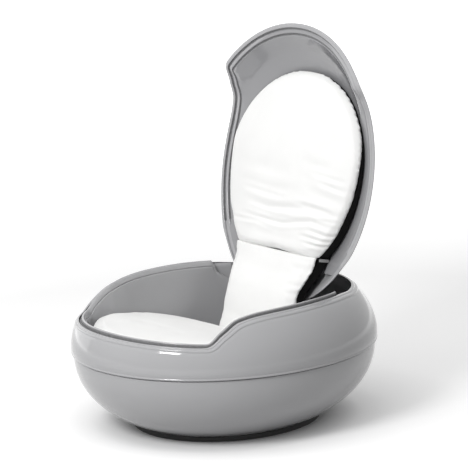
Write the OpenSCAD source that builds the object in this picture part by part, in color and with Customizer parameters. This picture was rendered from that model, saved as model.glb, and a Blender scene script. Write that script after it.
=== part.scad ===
// Pod chair: a padded seat bowl with a hinged padded lid, standing open.
// Millimetres, +Z up, floor at z = 0. The sitter faces -Y, the hinge axis runs along X.
// The closed body is one flattened egg. The rim curve parts it into bowl and lid, and the
// lid is drawn closed on the bowl and then swung open about the hinge axis.

/* [Body] */
// Width of the closed body
chair_w = 760; // [700:5:820]
// Depth of the closed body
chair_d = 840; // [800:5:880]
// Height of the closed body
closed_h = 457; // [450:1:475]
// Distance of the widest ridge below the top of the closed body
ridge_drop = 240; // [235:1:245]
// Wall of the two bowl shells and the lid shell
shell_t = 6; // [5:0.5:7]
// Wall of the tub and of the lid liner
liner_t = 5; // [3:0.5:6]

/* [Rim] */
// Distance of the rim's low front below the top of the closed body
front_drop = 172; // [165:1:178]
// Distance of the rim along the arms below the top of the closed body
arm_drop = 104; // [100:1:108]
// Reveal between the bowl's rim and the closed lid
lid_gap = 2.5; // [2.5:0.1:4]
// Extra drop of the bowl's rim behind the hinge, so the lid's tail swings past it
rear_drop = 3; // [3:0.5:6]
// Rounding of the shell edges
edge_r = 1.8; // [1:0.1:2.2]
// Inset of the inner lip's outer face from the rim edge
lip_inset = 13.5; // [13.5:0.5:16]
// Width of the inner lip
lip_w = 11; // [10:0.5:13]
// Height of the inner lip over the rim edge
lip_rise = 7.5; // [4:0.5:7.5]
// Depth of the groove beside the lip
groove_depth = 7; // [6:0.5:9]
// Distance from the lips' rear ends to the hinge axis behind them
lip_to_hinge = 57; // [54:1:64]

/* [Seam and foot] */
// Distance of the shell seam below the ridge
seam_drop = 14; // [12:1:20]
// Thickness of the seam gasket
gasket_t = 2; // [1:0.5:3]
// Inset of the lower shell at the seam
seam_inset = 6; // [4:0.5:8]
// Width of the inner flanges at the seam
flange_w = 18; // [16:1:24]
// Height of the foot ring
foot_h = 12; // [10:0.5:16]
// Width of the foot ring
foot_w = 22; // [20:1:30]
// Diameter of the screws in seam and foot ring
small_screw_d = 4; // [3:0.5:5]

/* [Tub and seat] */
// Distance of the seat cushion's highest edge below the rim's low front
seat_sink = 14; // [12:1:20]
// Distance of that highest place from the front end of the body
seat_crest_in = 185; // [180:1:190]
// Height of the seat cushion's rear end over the tub's level floor
seat_rear_h = 76; // [72:1:82]
// Distance from the seat cushion's rear end to the hinge axis
seat_to_hinge = 133; // [132:1:142]
// Rise of the tub's floor from the rear of the seat to its crest
pan_rise = 60; // [40:1:70]
// Height of the seat cushion's crown over its edge
seat_crown = 16; // [8:1:20]
// Play between the seat cushion and the tub wall
seat_play = 4; // [2:0.5:8]
// How far the tub wall leans in towards the floor of the tub
wall_draft = 6; // [4:1:10]
// Height of the tub's level floor behind the seat
recess_z = 116; // [108:1:120]

/* [Back padding] */
// Distance of the back cushion's side from the side of the body
back_side_in = 112; // [110:1:124]
// Place along Y of its widest line, with the lid closed
back_mid_y = -46; // [-52:1:-40]
// Distance of its round end from the front end of the body
back_front_in = 137; // [134:1:149]
// Distance of its full egg outline, which the fold cuts off, from the rear end of the body
back_rear_in = 133; // [121:1:141]
// Distance from the fold to the hinge axis, with the lid closed
fold_to_hinge = 24; // [23:1:29]
// Distance of the cushion's edge line below the arms' rim, with the lid closed
back_edge_drop = 4; // [2:0.5:5]
// Thickness of the cushion's side
back_side_t = 16; // [12:1:18]
// Crown of the back cushion
back_crown = 28; // [18:1:30]
// Depth of the lower back pad with its backing
pad_depth = 41; // [34:1:42]
// Crown of the lower back pad
pad_crown = 14; // [8:1:18]

/* [Hinge] */
// Distance of the hinge axis from the rear end of the body
hinge_in = 185; // [184:0.5:186]
// Distance of the hinge axis below the inner face of the closed lid's shell
hinge_sink = 24.84; // [23.34:0.5:25.84]
// Angle from closed to open
open_angle = 102.4; // [96:0.2:102.4]
// Inner face of each bracket, from the middle
bracket_x = 72; // [60:1:76]
// Thickness of the bracket plates
bracket_t = 6; // [4:0.5:6]
// Thickness of the hinge arms
arm_t = 5; // [4:0.5:6]
// Diameter of the hinge pins
pin_d = 10; // [8:0.5:11]
// Diameter of the bracket heads
bracket_head_d = 22; // [18:1:23]
// Width of the bracket necks
neck_w = 16; // [12:1:17]
// Diameter of the arm eyes
arm_eye_d = 24; // [20:1:24]
// Width of the slot that lets a bracket into the lid
slot_w = 11; // [10:0.5:12]
// Diameter of the bracket bolts and beam screws
bolt_d = 8; // [6:1:8]

/* [Hidden] */

// Powers of the egg's outlines: plan, dome along and across, underside
plan_pow = 2.03;
dome_in_pow = 2.118;
dome_out_pow = 1.986;
under_pow = 2.17;

// Play between pieces that rest on or beside each other
rest_gap = 0.3;
// Play between the flanges of the liners and the faceted inner faces of the shells
flange_play = 0.8;
// Play of the hinge pins in their bushes, on the radius
running_gap = 0.05;
// Side play between bracket, bush flange and clip
side_gap = 0.4;
// Overrun of cutting tools
cut = 20;

lacquer = [0.66, 0.66, 0.67];
liner_grey = [0.58, 0.58, 0.59];
cotton = [0.95, 0.95, 0.94];
black = [0.04, 0.04, 0.04];
rubber = [0.13, 0.13, 0.14];
steel = [0.55, 0.56, 0.58];
timber = [0.78, 0.66, 0.48];

$fn = 48;

half_w = chair_w / 2;
half_d = chair_d / 2;
ridge_z = closed_h - ridge_drop;
front_z = closed_h - front_drop;
arm_z = closed_h - arm_drop;
hinge_y = half_d - hinge_in;
hinge_z = dome_z_at(0, hinge_y, shell_t) - hinge_sink;
lip_end_y = hinge_y - lip_to_hinge;

// Columns of the shells, as angles from the rear over the left side to the front and back.
// They lie closer together at the hinge and on the S-curve of the rim.
half_q = concat([for (q = [90 : 6 : 144]) q], [for (q = [149 : 4 : 153]) q], [for (q = [158 : 7 : 193]) q],
    [for (q = [197 : 3.5 : 225]) q], [for (q = [230 : 8 : 270]) q]);
col_q = concat(half_q, [for (i = [len(half_q) - 2 : -1 : 1]) 540 - half_q[i]]);
cols = len(col_q);

function pw(v, e) = sign(v) * pow(abs(v), e);
function unit(q, e) = [pw(cos(q), 2 / e), pw(sin(q), 2 / e)];
dirs = [for (q = col_q) unit(q, plan_pow)];
function mix(a, b, f) = a + (b - a) * f;
function ease(v, lo, hi) = let (f = min(1, max(0, (v - lo) / (hi - lo)))) f * f * (3 - 2 * f);

// Height of the rim along Y: low front, S-rise, long arm. Shares of half the depth and of
// the rise from front to arm, joined by a monotone curve.
rim_y_share = [-1, -0.786, -0.643, -0.524, -0.405, -0.262, -0.095, 0.19, 0.476, 0.857];
rim_rise_share = [0.15, 0.04, 0, 0.42, 0.79, 0.93, 0.98, 1, 0.96, 0.885];
knot_y = [for (s = rim_y_share) s * half_d];
knot_z = [for (s = rim_rise_share) mix(front_z, arm_z, s)];
last_knot = len(knot_y) - 1;
function step_y(i) = knot_y[i + 1] - knot_y[i];
function secant(i) = (knot_z[i + 1] - knot_z[i]) / step_y(i);
function knot_slope(i) =
    i == 0 ? secant(0)
    : i == last_knot ? secant(last_knot - 1)
    : secant(i - 1) * secant(i) <= 0 ? 0
    : let (a = 2 * step_y(i) + step_y(i - 1), b = step_y(i) + 2 * step_y(i - 1))
        (a + b) / (a / secant(i - 1) + b / secant(i));
slopes = [for (i = [0 : last_knot]) knot_slope(i)];
function knot_at(y, i = 0) = i == last_knot - 1 || y < knot_y[i + 1] ? i : knot_at(y, i + 1);
function rim_z(y) =
    y >= knot_y[last_knot] ? knot_z[last_knot] + slopes[last_knot] * (y - knot_y[last_knot])
    : let (i = knot_at(y), h = step_y(i), f = (y - knot_y[i]) / h, g = 1 - f)
        knot_z[i] * (1 + 2 * f) * g * g + slopes[i] * h * f * g * g
        + knot_z[i + 1] * f * f * (3 - 2 * f) - slopes[i + 1] * h * f * f * g;

// The dome of the closed egg, t inside its outer face. s runs from 0 on top to 1 at the ridge.
function dome_z(s, t) =
    ridge_z + (closed_h - t - ridge_z) * pow(max(0, 1 - pow(s, dome_in_pow)), 1 / dome_out_pow);
function dome_pt(d, s, t) = [(half_w - t) * d.x * s, (half_d - t) * d.y * s, dome_z(s, t)];
function dome_share(x, y, t) =
    pow(pow(abs(x) / (half_w - t), plan_pow) + pow(abs(y) / (half_d - t), plan_pow), 1 / plan_pow);
function dome_z_at(x, y, t) = dome_z(min(1, dome_share(x, y, t)), t);

// Where the dome, t inside its outer face, meets the rim height plus a lift
function above_rim(d, s, t, lift) = dome_z(s, t) - rim_z((half_d - t) * d.y * s) - lift;
function rim_share(d, t, lift, lo = 0.4, hi = 1, k = 20) =
    let (m = (lo + hi) / 2)
    k == 0 ? m
    : above_rim(d, m, t, lift) > 0 ? rim_share(d, t, lift, m, hi, k - 1)
    : rim_share(d, t, lift, lo, m, k - 1);
function rim_pt(d, t, lift) = dome_pt(d, rim_share(d, t, lift), t);

// The rim edge, and per column the horizontal direction that points inwards from it
rim0 = [for (d = dirs) rim_pt(d, 0, 0)];
function flat(v) = v / norm(v);
inward = [for (i = [0 : cols - 1])
    let (a = rim0[(i + cols - 1) % cols], b = rim0[(i + 1) % cols], e = flat([b.x - a.x, b.y - a.y]))
    [-e.y, e.x]];
function in_from(i, h, z) = [rim0[i].x + inward[i].x * h, rim0[i].y + inward[i].y * h, z];
function over(i, h, lift) = in_from(i, h, rim0[i].z + lift);
function behind(i) = ease(rim0[i].y, lip_end_y, hinge_y);
lipped = [for (i = [0 : cols - 1]) if (rim0[i].y < lip_end_y) i];

// Solids made of rings of points. Rings run up the outer face, over the edge and down the inner.
function ring_faces(m, n, wrap) = [
    for (r = [0 : 1 : wrap ? m - 1 : m - 2], i = [0 : n - 1])
        let (a = r * n + i, b = r * n + (i + 1) % n,
            c = ((r + 1) % m) * n + (i + 1) % n, d = ((r + 1) % m) * n + i)
        each [[a, c, b], [a, d, c]]];
function joined(rings) = [for (r = rings) each r];
module hoop(rings) {
    polyhedron(joined(rings), ring_faces(len(rings), len(rings[0]), true), 6);
}
module pillow(first, rings, last) {
    n = len(rings[0]);
    m = len(rings);
    low = [for (i = [0 : n - 1]) [n * m, i, (i + 1) % n]];
    high = [for (i = [0 : n - 1]) [(m - 1) * n + i, n * m + 1, (m - 1) * n + (i + 1) % n]];
    polyhedron(concat(joined(rings), [first, last]), concat(ring_faces(m, n, false), low, high), 6);
}
// Cap of a ring, in strips that run across from each column to its mirror image
function cap_strips(base, up) = [for (i = [0 : cols / 2 - 1])
    let (a = base + i, b = base + i + 1, c = base + (cols - i - 1) % cols, d = base + (cols - i) % cols)
    each [if (b != c) up ? [a, c, b] : [a, b, c], if (a != d) up ? [a, d, c] : [a, c, d]]];
module slab(rings) {
    top = (len(rings) - 1) * cols;
    polyhedron(joined(rings), concat(ring_faces(len(rings), cols, false), cap_strips(0, false),
        cap_strips(top, true)), 6);
}
module strip(sections) {
    n = len(sections[0]);
    m = len(sections);
    start = [for (i = [0 : n - 1]) i];
    end = [for (i = [n - 1 : -1 : 0]) (m - 1) * n + i];
    polyhedron(joined(sections), concat(ring_faces(m, n, false), [start, end]), 6);
}

module swing_open() {
    translate([0, hinge_y, hinge_z]) rotate([-open_angle, 0, 0]) translate([0, -hinge_y, -hinge_z])
        children();
}
// A flat outline given in Y and Z, made into a plate from x0 on
module side_plate(x0, t) {
    translate([x0, 0, 0]) rotate([90, 0, 90]) linear_extrude(t) children();
}
module both_sides() {
    children();
    mirror([1, 0, 0]) children();
}
module plan_outline(inset, share = 1) {
    polygon([for (d = dirs) [(half_w - inset) * d.x * share, (half_d - inset) * d.y * share]]);
}
function level(inset, z) = [for (d = dirs) [(half_w - inset) * d.x, (half_d - inset) * d.y, z]];

// Bowl shells

seam_top_z = ridge_z - seam_drop;
seam_low_z = seam_top_z - gasket_t;
foot_share = 0.622;
foot_lip = 1;
foot_rise = 1 - pow(1 - pow(foot_share, under_pow), 1 / under_pow);
under_z0 = (foot_h + foot_lip - seam_low_z * foot_rise) / (1 - foot_rise);
foot_turn = acos(pow(foot_share, under_pow / 2));
// Ring of the lower shell, f from 0 at the seam to 1 at the foot, t inside its outer face
function under_ring(f, t) =
    let (r = pow(cos(foot_turn * f), 2 / under_pow), k = pow(sin(foot_turn * f), 2 / under_pow),
        z0 = under_z0 + t)
    [for (d = dirs) [(half_w - seam_inset - t) * d.x * r, (half_d - seam_inset - t) * d.y * r,
        z0 + (seam_low_z - z0) * (1 - k)]];
function under_z_at(x, y, t) =
    let (r = pow(pow(abs(x) / (half_w - seam_inset - t), plan_pow)
            + pow(abs(y) / (half_d - seam_inset - t), plan_pow), 1 / plan_pow), z0 = under_z0 + t)
    max(foot_h + shell_t, z0 + (seam_low_z - z0) * (1 - pow(1 - pow(r, under_pow), 1 / under_pow)));
flat_share = 0.58;
function floor_ring(t, z) = [for (d = dirs)
    [(half_w - seam_inset - t) * d.x * flat_share, (half_d - seam_inset - t) * d.y * flat_share, z]];

module base_shell() {
    rings = concat(
        [floor_ring(0, foot_h)],
        [for (f = [1, 0.86, 0.72, 0.58, 0.44, 0.3, 0.18, 0.08, 0]) under_ring(f, 0)],
        [level(seam_inset + flange_w, seam_low_z), level(seam_inset + flange_w, seam_low_z - shell_t),
            level(seam_inset + 2 * shell_t, seam_low_z - shell_t)],
        [for (f = [0.2, 0.35, 0.5, 0.65, 0.8, 0.93]) under_ring(f, shell_t)],
        [floor_ring(shell_t, foot_h + shell_t)]);
    color(lacquer) pillow([0, 0, foot_h], rings, [0, 0, foot_h + shell_t]);
}

// Ring of the dome between the ridge, f = 0, and the rim edge, f = 1
function skin_ring(f, t, lift) = [for (i = [0 : cols - 1])
    let (s = rim_share(dirs[i], t, lift - rear_drop * behind(i)), a = acos(pow(s, dome_in_pow / 2)))
    dome_pt(dirs[i], pow(cos(a * f), 2 / dome_in_pow), t)];

module upper_shell() {
    curl_share = 0.35;
    rings = concat(
        [level(seam_inset, seam_top_z), level(seam_inset * curl_share, ridge_z - seam_drop / 2)],
        [for (f = [0, 0.2, 0.4, 0.6, 0.8, 1]) skin_ring(f, 0, -edge_r)],
        [skin_ring(1, edge_r, 0), skin_ring(1, shell_t - edge_r, 0)],
        [for (f = [1, 0.9, 0.7, 0.45, 0.2, 0]) skin_ring(f, shell_t, -edge_r)],
        [level(seam_inset + shell_t, seam_top_z + shell_t),
            level(seam_inset + flange_w, seam_top_z + shell_t),
            level(seam_inset + flange_w, seam_top_z)]);
    color(lacquer) hoop(rings);
}

gasket_reveal = 1.5;
module seam_gasket() {
    color(rubber) translate([0, 0, seam_low_z]) linear_extrude(gasket_t) difference() {
        plan_outline(seam_inset + gasket_reveal);
        plan_outline(seam_inset + flange_w);
    }
}

seam_screw_n = 12;
small_head_d = 1.9 * small_screw_d;
screw_head_h = 3.5;
module seam_screws() {
    inset = seam_inset + (shell_t + flange_w) / 2 + small_screw_d / 4;
    grip = gasket_t + 2 * shell_t;
    color(steel) for (k = [0 : seam_screw_n - 1]) {
        d = unit((k + 0.5) * 360 / seam_screw_n, plan_pow);
        translate([(half_w - inset) * d.x, (half_d - inset) * d.y, seam_low_z - shell_t]) {
            $fn = 16;
            translate([0, 0, -screw_head_h]) cylinder(h = grip + screw_head_h, d = small_screw_d);
            translate([0, 0, -screw_head_h]) cylinder(h = screw_head_h, d = small_head_d);
            translate([0, 0, grip]) cylinder(h = screw_head_h, d = small_head_d);
        }
    }
}

foot_screw_n = 8;
function foot_screw_at(k) =
    let (d = unit((k + 0.5) * 360 / foot_screw_n, plan_pow))
    [((half_w - seam_inset) * flat_share - foot_w / 2) * d.x,
        ((half_d - seam_inset) * flat_share - foot_w / 2) * d.y];
module foot_ring() {
    color(rubber) difference() {
        linear_extrude(foot_h) difference() {
            plan_outline(seam_inset, foot_share);
            polygon([for (d = dirs)
                [((half_w - seam_inset) * flat_share - foot_w) * d.x,
                    ((half_d - seam_inset) * flat_share - foot_w) * d.y]]);
        }
        for (k = [0 : foot_screw_n - 1]) translate(foot_screw_at(k)) {
            $fn = 16;
            translate([0, 0, -cut]) cylinder(h = cut + foot_h / 2, d = 2.2 * small_screw_d);
            translate([0, 0, -cut]) cylinder(h = 2 * cut + foot_h, d = small_screw_d);
        }
    }
}
module foot_screws() {
    color(steel) for (k = [0 : foot_screw_n - 1]) translate(foot_screw_at(k)) {
        $fn = 16;
        translate([0, 0, foot_h / 2 - screw_head_h]) cylinder(h = screw_head_h, d = small_head_d);
        translate([0, 0, foot_h / 2 - screw_head_h])
            cylinder(h = screw_head_h + foot_h / 2 + 0.8 * shell_t, d = small_screw_d);
    }
}

// Tub and seat

lip_in = lip_inset + lip_w;
lip_round = 1.5;
lip_edge = 1;
lip_root = 20;
fillet_r = 20;
seat_z = front_z - seat_sink;
seat_crest_y = seat_crest_in - half_d;
seat_rear_y = hinge_y - seat_to_hinge;
seat_drop = seat_z - recess_z - seat_rear_h;
function seat_top(y) =
    seat_z - seat_drop * pow((y - seat_crest_y) / (seat_rear_y - seat_crest_y), 2);
// The tub's floor: an incline under the seat and a level recess behind it. Its bend lies on a column.
function floor_at(i, in, up) = let (p = in_from(i, lip_in + wall_draft + in, 0)) [p.x, p.y, pan_z(p.y) + up];
floor_y = [for (i = lipped) in_from(i, lip_in + wall_draft + fillet_r, 0).y];
bend_y = min([for (y = floor_y) if (y > seat_rear_y) y]);
function pan_z(y) = recess_z + pan_rise * max(0, (bend_y - y) / (bend_y - seat_crest_y));
// Rear edge of the tub, cut away for the lid's tail: a short step, a slope and a low back
cut_y_share = [0.44, 0.56, 0.69, 0.81];
cut_z_share = [0.9, 0.74, 0.615, 0.572];
cut_line = [for (k = [0 : 3]) [cut_y_share[k] * half_d, mix(recess_z, rim_z(lip_end_y), cut_z_share[k])]];
// Rows under the cut edge: root, lower and upper face of the flange, wall, edge and rounding
cut_edge_h = 17;
cut_row_share = [1, 0.765, 0.588, 0.47, 0.294, 0.118];
cut_row = [for (s = cut_row_share) -s * cut_edge_h];
function tub_edge_z(i) = lookup(rim0[i].y, cut_line);
// A point of the tub's section: over the rim where the lip runs, on the cut edge behind it
function tub_pt(i, h, lift, cut_h, cut_lift) =
    rim0[i].y < lip_end_y ? over(i, h, lift) : in_from(i, cut_h, tub_edge_z(i) + cut_lift);
function tub_ring(h, lift, cut_h, cut_lift) = [for (i = [0 : cols - 1]) tub_pt(i, h, lift, cut_h, cut_lift)];
function flange_ring(drop, cut_lift) = [for (i = [0 : cols - 1])
    rim0[i].y < lip_end_y ? rim_pt(dirs[i], shell_t + flange_play, -drop)
    : in_from(i, lip_in - liner_t, tub_edge_z(i) + cut_lift)];
function floor_ring_at(in, up) = [for (i = [0 : cols - 1]) floor_at(i, in, up)];

module tub_liner() {
    w = liner_t;
    r = fillet_r;
    rings = [
        floor_ring_at(r, -w), floor_ring_at(0.25 * r - w, 0.25 * r - w), floor_ring_at(-w, r),
        tub_ring(lip_in - w, -lip_root, lip_in - w, cut_row[0]),
        flange_ring(groove_depth + w, cut_row[1]), flange_ring(groove_depth, cut_row[2]),
        tub_ring(lip_inset, -groove_depth, lip_in - w, cut_row[3]),
        tub_ring(lip_inset, -lip_edge, lip_in - w, cut_row[4]),
        tub_ring(lip_inset + lip_round, lip_rise * 0.2, lip_in - w, cut_row[5]),
        tub_ring(lip_inset + lip_w / 2, lip_rise * 0.67, lip_in - 0.7 * w, 0),
        tub_ring(lip_in - lip_round, lip_rise, lip_in - 0.3 * w, 0),
        tub_ring(lip_in, lip_rise * 0.8, lip_in, cut_row[5]),
        tub_ring(lip_in + lip_edge, cut_row[3], lip_in + lip_edge, cut_row[3]),
        floor_ring_at(0, r), floor_ring_at(0.3 * r, 0.3 * r), floor_ring_at(r, 0)];
    color(liner_grey) slab(rings);
}

rim_seal_w = 3.7;
module rim_seal() {
    inner = lip_inset - rest_gap;
    outer = inner - rim_seal_w;
    low = 3 * rest_gap - groove_depth;
    high = -groove_depth / 2;
    color(rubber) strip([for (i = lipped)
        [over(i, outer, low), over(i, inner, low), over(i, inner, high), over(i, outer, high)]]);
}

pedestal_w = 260;
pedestal_front_in = 55;
pedestal_rear_in = 12;
pedestal_y = [seat_crest_y + pedestal_front_in, seat_rear_y - pedestal_rear_in];
board_t = 18;
floor_z = foot_h + shell_t + rest_gap;
// Upright boards that reach from the base shell's floor to the incline of the tub
module board_outline(y0, y1) {
    top = -liner_t - rest_gap;
    polygon([[y0, floor_z], [y1, floor_z], [y1, pan_z(y1) + top], [y0, pan_z(y0) + top]]);
}
module seat_pedestal() {
    mid = (pedestal_y[0] + pedestal_y[1]) / 2;
    color(timber) {
        both_sides() side_plate(pedestal_w / 2 - board_t, board_t)
            board_outline(pedestal_y[0], pedestal_y[1]);
        side_plate((board_t - pedestal_w) / 2, pedestal_w - board_t)
            board_outline(mid - board_t / 2, mid + board_t / 2);
    }
}

// Outline of the seat cushion: the tub wall in front, a rounded rear end behind
seat_rear_pow = 3;
seat_mid_share = -0.143;
seat_mid_y = seat_mid_share * half_d;
function seat_outline(i) =
    rim0[i].y <= 0 ? in_from(i, lip_in + wall_draft + seat_play, 0)
    : let (side = rim0[left_col].x + lip_in + wall_draft + seat_play, u = unit(col_q[i], seat_rear_pow))
        [-side * u.x, seat_rear_y * u.y, 0];
left_col = search(0, [for (i = [0 : cols - 1]) rim0[i].y <= 0 ? 0 : 1])[0];
function seat_ring(share, up, crown) = [for (i = [0 : cols - 1])
    let (p = seat_outline(i), x = p.x * share, y = mix(seat_mid_y, p.y, share))
    [x, y, mix(pan_z(y) + rest_gap, seat_top(y), up) + crown]];

module seat_cushion() {
    c = seat_crown;
    rings = [seat_ring(0.93, 0, 0), seat_ring(0.985, 0.15, 0), seat_ring(1, 0.5, 0),
        seat_ring(0.985, 0.8, 0), seat_ring(0.93, 1, 0), seat_ring(0.8, 1, 0.5 * c),
        seat_ring(0.6, 1, 0.8 * c), seat_ring(0.38, 1, 0.95 * c), seat_ring(0.16, 1, c)];
    color(cotton) slab(rings);
}

// Padding of the lid, drawn with the lid closed. It hangs under its edge line.

back_half_w = half_w - back_side_in;
back_front_l = half_d + back_mid_y - back_front_in;
back_rear_l = half_d - back_mid_y - back_rear_in;
fold_y = hinge_y - fold_to_hinge;
back_edge_z = arm_z - back_edge_drop;
liner_inset = 22;
// Play over the padding, wide enough for the liner's facets
pad_play = 3.3;
// The edge line rises to the round end, where it keeps a distance to the liner, and sinks to the fold
back_end_play = 6.3;
back_end_lift = dome_z_at(0, back_mid_y - back_front_l, liner_inset + back_end_play) - back_edge_z;
back_fold_sink = 19.5;
function edge_line(y) = y < back_mid_y
    ? back_edge_z + back_end_lift * pow((back_mid_y - y) / back_front_l, 1.5)
    : back_edge_z - back_fold_sink * pow((y - back_mid_y) / (fold_y - back_mid_y), 2.2);
back_cols = 44;
// Egg outline with a straight end at the fold, drawn in by a share
function egg(q, share, end_y) =
    let (len_y = sin(q) > 0 ? back_rear_l : back_front_l)
    [back_half_w * cos(q) * share, min(end_y, back_mid_y + len_y * sin(q) * share)];
function egg_half_w(y, share) =
    back_half_w * share * sqrt(1 - pow((y - back_mid_y) / back_rear_l / share, 2));
function back_ring(share, lift) = [for (k = [0 : back_cols - 1])
    let (p = egg(k * 360 / back_cols, share, mix(back_mid_y, fold_y, share)))
    [p.x, p.y, min(edge_line(p.y) + lift, dome_z_at(p.x, p.y, liner_inset + pad_play))]];

module back_cushion() {
    side = back_side_t / 2;
    c = back_crown;
    rings = [back_ring(0.3, -side - 0.97 * c), back_ring(0.58, -side - 0.86 * c),
        back_ring(0.8, -side - 0.6 * c), back_ring(0.93, -side - 0.25 * c), back_ring(0.985, -0.6 * side),
        back_ring(1, 0), back_ring(0.985, side), back_ring(0.5, side)];
    color(cotton) swing_open() pillow([0, back_mid_y, edge_line(back_mid_y) - side - c], rings,
        [0, back_mid_y, edge_line(back_mid_y) + side]);
}

core_share = 0.965;
core_least = 1.5;
core_gap = 1.2;
core_end_in = 3;
function core_ring(share, up) = [for (k = [0 : back_cols - 1])
    let (p = egg(k * 360 / back_cols, share * core_share, mix(back_mid_y, fold_y, share) - core_end_in),
        low = edge_line(p.y) + back_side_t / 2 + core_gap,
        high = dome_z_at(p.x, p.y, liner_inset + pad_play))
    [p.x, p.y, up ? max(low, high) : min(low, high - core_least)]];
bush_flange_t = 0.6;
arm_x = bracket_x + bracket_t + side_gap + bush_flange_t;
// Play of the core's pocket round arms and beam, and of the pockets round the stop lugs
pocket_play = 4;
pocket_drop = 6;
lug_play = 3;
lug_room = 8;
module back_core() {
    pocket_half_w = arm_x + arm_t + pocket_play;
    mid = [0, back_mid_y];
    low = edge_line(mid.y) + back_side_t / 2 + core_gap;
    color(black) swing_open() difference() {
        pillow([mid.x, mid.y, low], [core_ring(0.5, false), core_ring(1, false), core_ring(1, true),
            core_ring(0.85, true), core_ring(0.66, true), core_ring(0.45, true), core_ring(0.22, true)],
            [mid.x, mid.y, dome_z_at(mid.x, mid.y, liner_inset + pad_play)]);
        translate([-pocket_half_w, beam_y - pocket_play, stop_low_z - pocket_drop])
            cube([2 * pocket_half_w, hinge_y, closed_h]);
    }
}

tab_w = 8;
tab_t = 1.5;
tab_inset = 10;
module fold_tabs() {
    y = fold_y - tab_inset - tab_w;
    x = egg_half_w(y - tab_w, core_share) + rest_gap;
    z = edge_line(y) + back_side_t / 2 + 3 * rest_gap;
    color(lacquer) swing_open() both_sides() translate([x, y, z])
        cube([tab_t, tab_w, dome_z_at(x + tab_t, y + tab_w, liner_inset + rest_gap) - rest_gap - z]);
}

// Padding below the fold, from the tub's floor up to the fold of the open lid.
// Shares of the height, of the way back from the seat's end to the fold, and of the fold's width.
pad_up_share = [0, 0.26, 0.42, 0.58, 0.71, 0.81, 0.91, 1];
pad_back_share = [0, 0, 0.1, 0.18, 0.31, 0.58, 0.87, 1];
pad_width_share = [0.96, 0.98, 0.92, 0.87, 0.86, 0.92, 0.965, 1];
pad_crown_share = [0.04, 0.04, 0.7, 1, 1, 1, 0.9, 0.6];
pad_rows = len(pad_up_share);
fold_rel = [fold_y - hinge_y, edge_line(fold_y) - hinge_z];
fold_open = [hinge_y + fold_rel.x * cos(open_angle) + fold_rel.y * sin(open_angle),
    hinge_z - fold_rel.x * sin(open_angle) + fold_rel.y * cos(open_angle)];
fold_half_w = egg_half_w(fold_y, 1);
fold_gap = 1.3;
pad_high_z = fold_open.y - fold_gap;
pad_front_y = seat_rear_y + 4 * rest_gap;
pad_low_z = pan_z(pad_front_y - rest_gap) + rest_gap;
function pad_z(k) = mix(pad_low_z, pad_high_z, pad_up_share[k]);
function pad_y(k) = mix(pad_front_y, fold_open.x, pad_back_share[k]);
pad_side_n = 7;
// One level of the pad: the crowned front, then the flat back
function pad_level(k) =
    let (w = fold_half_w * pad_width_share[k], y = pad_y(k), z = pad_z(k), c = pad_crown * pad_crown_share[k])
    concat(
        [for (j = [0 : pad_side_n]) let (u = 2 * j / pad_side_n - 1)
            [w * u, y - c * pow(1 - pow(abs(u), 3), 0.6), z]],
        [[w, y + back_side_t / 2, z], [-w, y + back_side_t / 2, z]]);
// One level of the backing. Towards the fold its rear drops, clear of the open lid's core.
function backing_level(k) =
    let (w = fold_half_w * pad_width_share[k] * core_share, z = pad_z(k),
        y0 = pad_y(k) + back_side_t / 2 + rest_gap, y1 = pad_y(k) + pad_depth,
        drop = 1.6 * (y1 - y0) * tan(open_angle - 90) * pow(pad_up_share[k], 4))
    [[-w, y0, z], [w, y0, z], [w, y1, z - drop], [-w, y1, z - drop]];
module lower_back_pad() {
    color(cotton) strip([for (k = [0 : pad_rows - 1]) pad_level(k)]);
}
module lower_back_backing() {
    // Two pockets at the rear leave room for the stop lugs of the brackets
    pocket_y = hinge_y - stop_r - lug_d;
    color(black) difference() {
        strip([for (k = [0 : pad_rows - 1]) backing_level(k)]);
        both_sides() translate([bracket_x - lug_play, pocket_y, stop_low_z - lug_room])
            cube([arm_x + arm_t - bracket_x + 2 * lug_play, cut + lug_d, lug_d + 2 * lug_room]);
    }
}

// Lid shells, drawn closed on the bowl

function lid_ring(f, t, lift) = [for (d = dirs)
    let (s = rim_share(d, t, lift), a = acos(pow(s, dome_in_pow / 2)))
    dome_pt(d, pow(cos(mix(a, 90, f)), 2 / dome_in_pow), t)];
slot_play = 1;
slot_front_y = hinge_y + bracket_head_d / 2 + slot_play;
slot_mid_x = bracket_x + bracket_t / 2;
module bracket_slots() {
    both_sides() translate([slot_mid_x - slot_w / 2, slot_front_y, ridge_z])
        cube([slot_w, chair_d, closed_h]);
}
module lid_shell() {
    rings = concat(
        [for (f = [0.88, 0.7, 0.5, 0.31, 0.15, 0.05, 0]) lid_ring(f, shell_t, lid_gap + edge_r)],
        [lid_ring(0, shell_t - edge_r, lid_gap), lid_ring(0, edge_r, lid_gap)],
        [for (f = [0, 0.12, 0.26, 0.42, 0.58, 0.74, 0.9]) lid_ring(f, 0, lid_gap + edge_r)]);
    color(lacquer) swing_open() difference() {
        pillow([0, 0, closed_h - shell_t], rings, [0, 0, closed_h]);
        bracket_slots();
    }
}

// Inset of the lid shell's inner face, measured along the rim's level at a lift
function face_inset(i, lift) =
    let (p = rim_pt(dirs[i], shell_t + flange_play, lift))
    (p.x - rim0[i].x) * inward[i].x + (p.y - rim0[i].y) * inward[i].y;
// Levels of the lid's seal and of the liner's first row over the lid's edge
seal_up = 0.5;
face_up = 3;
face_low = [for (i = [0 : cols - 1]) face_inset(i, lid_gap + seal_up)];
face_high = [for (i = [0 : cols - 1]) face_inset(i, lid_gap + face_up)];
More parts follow.
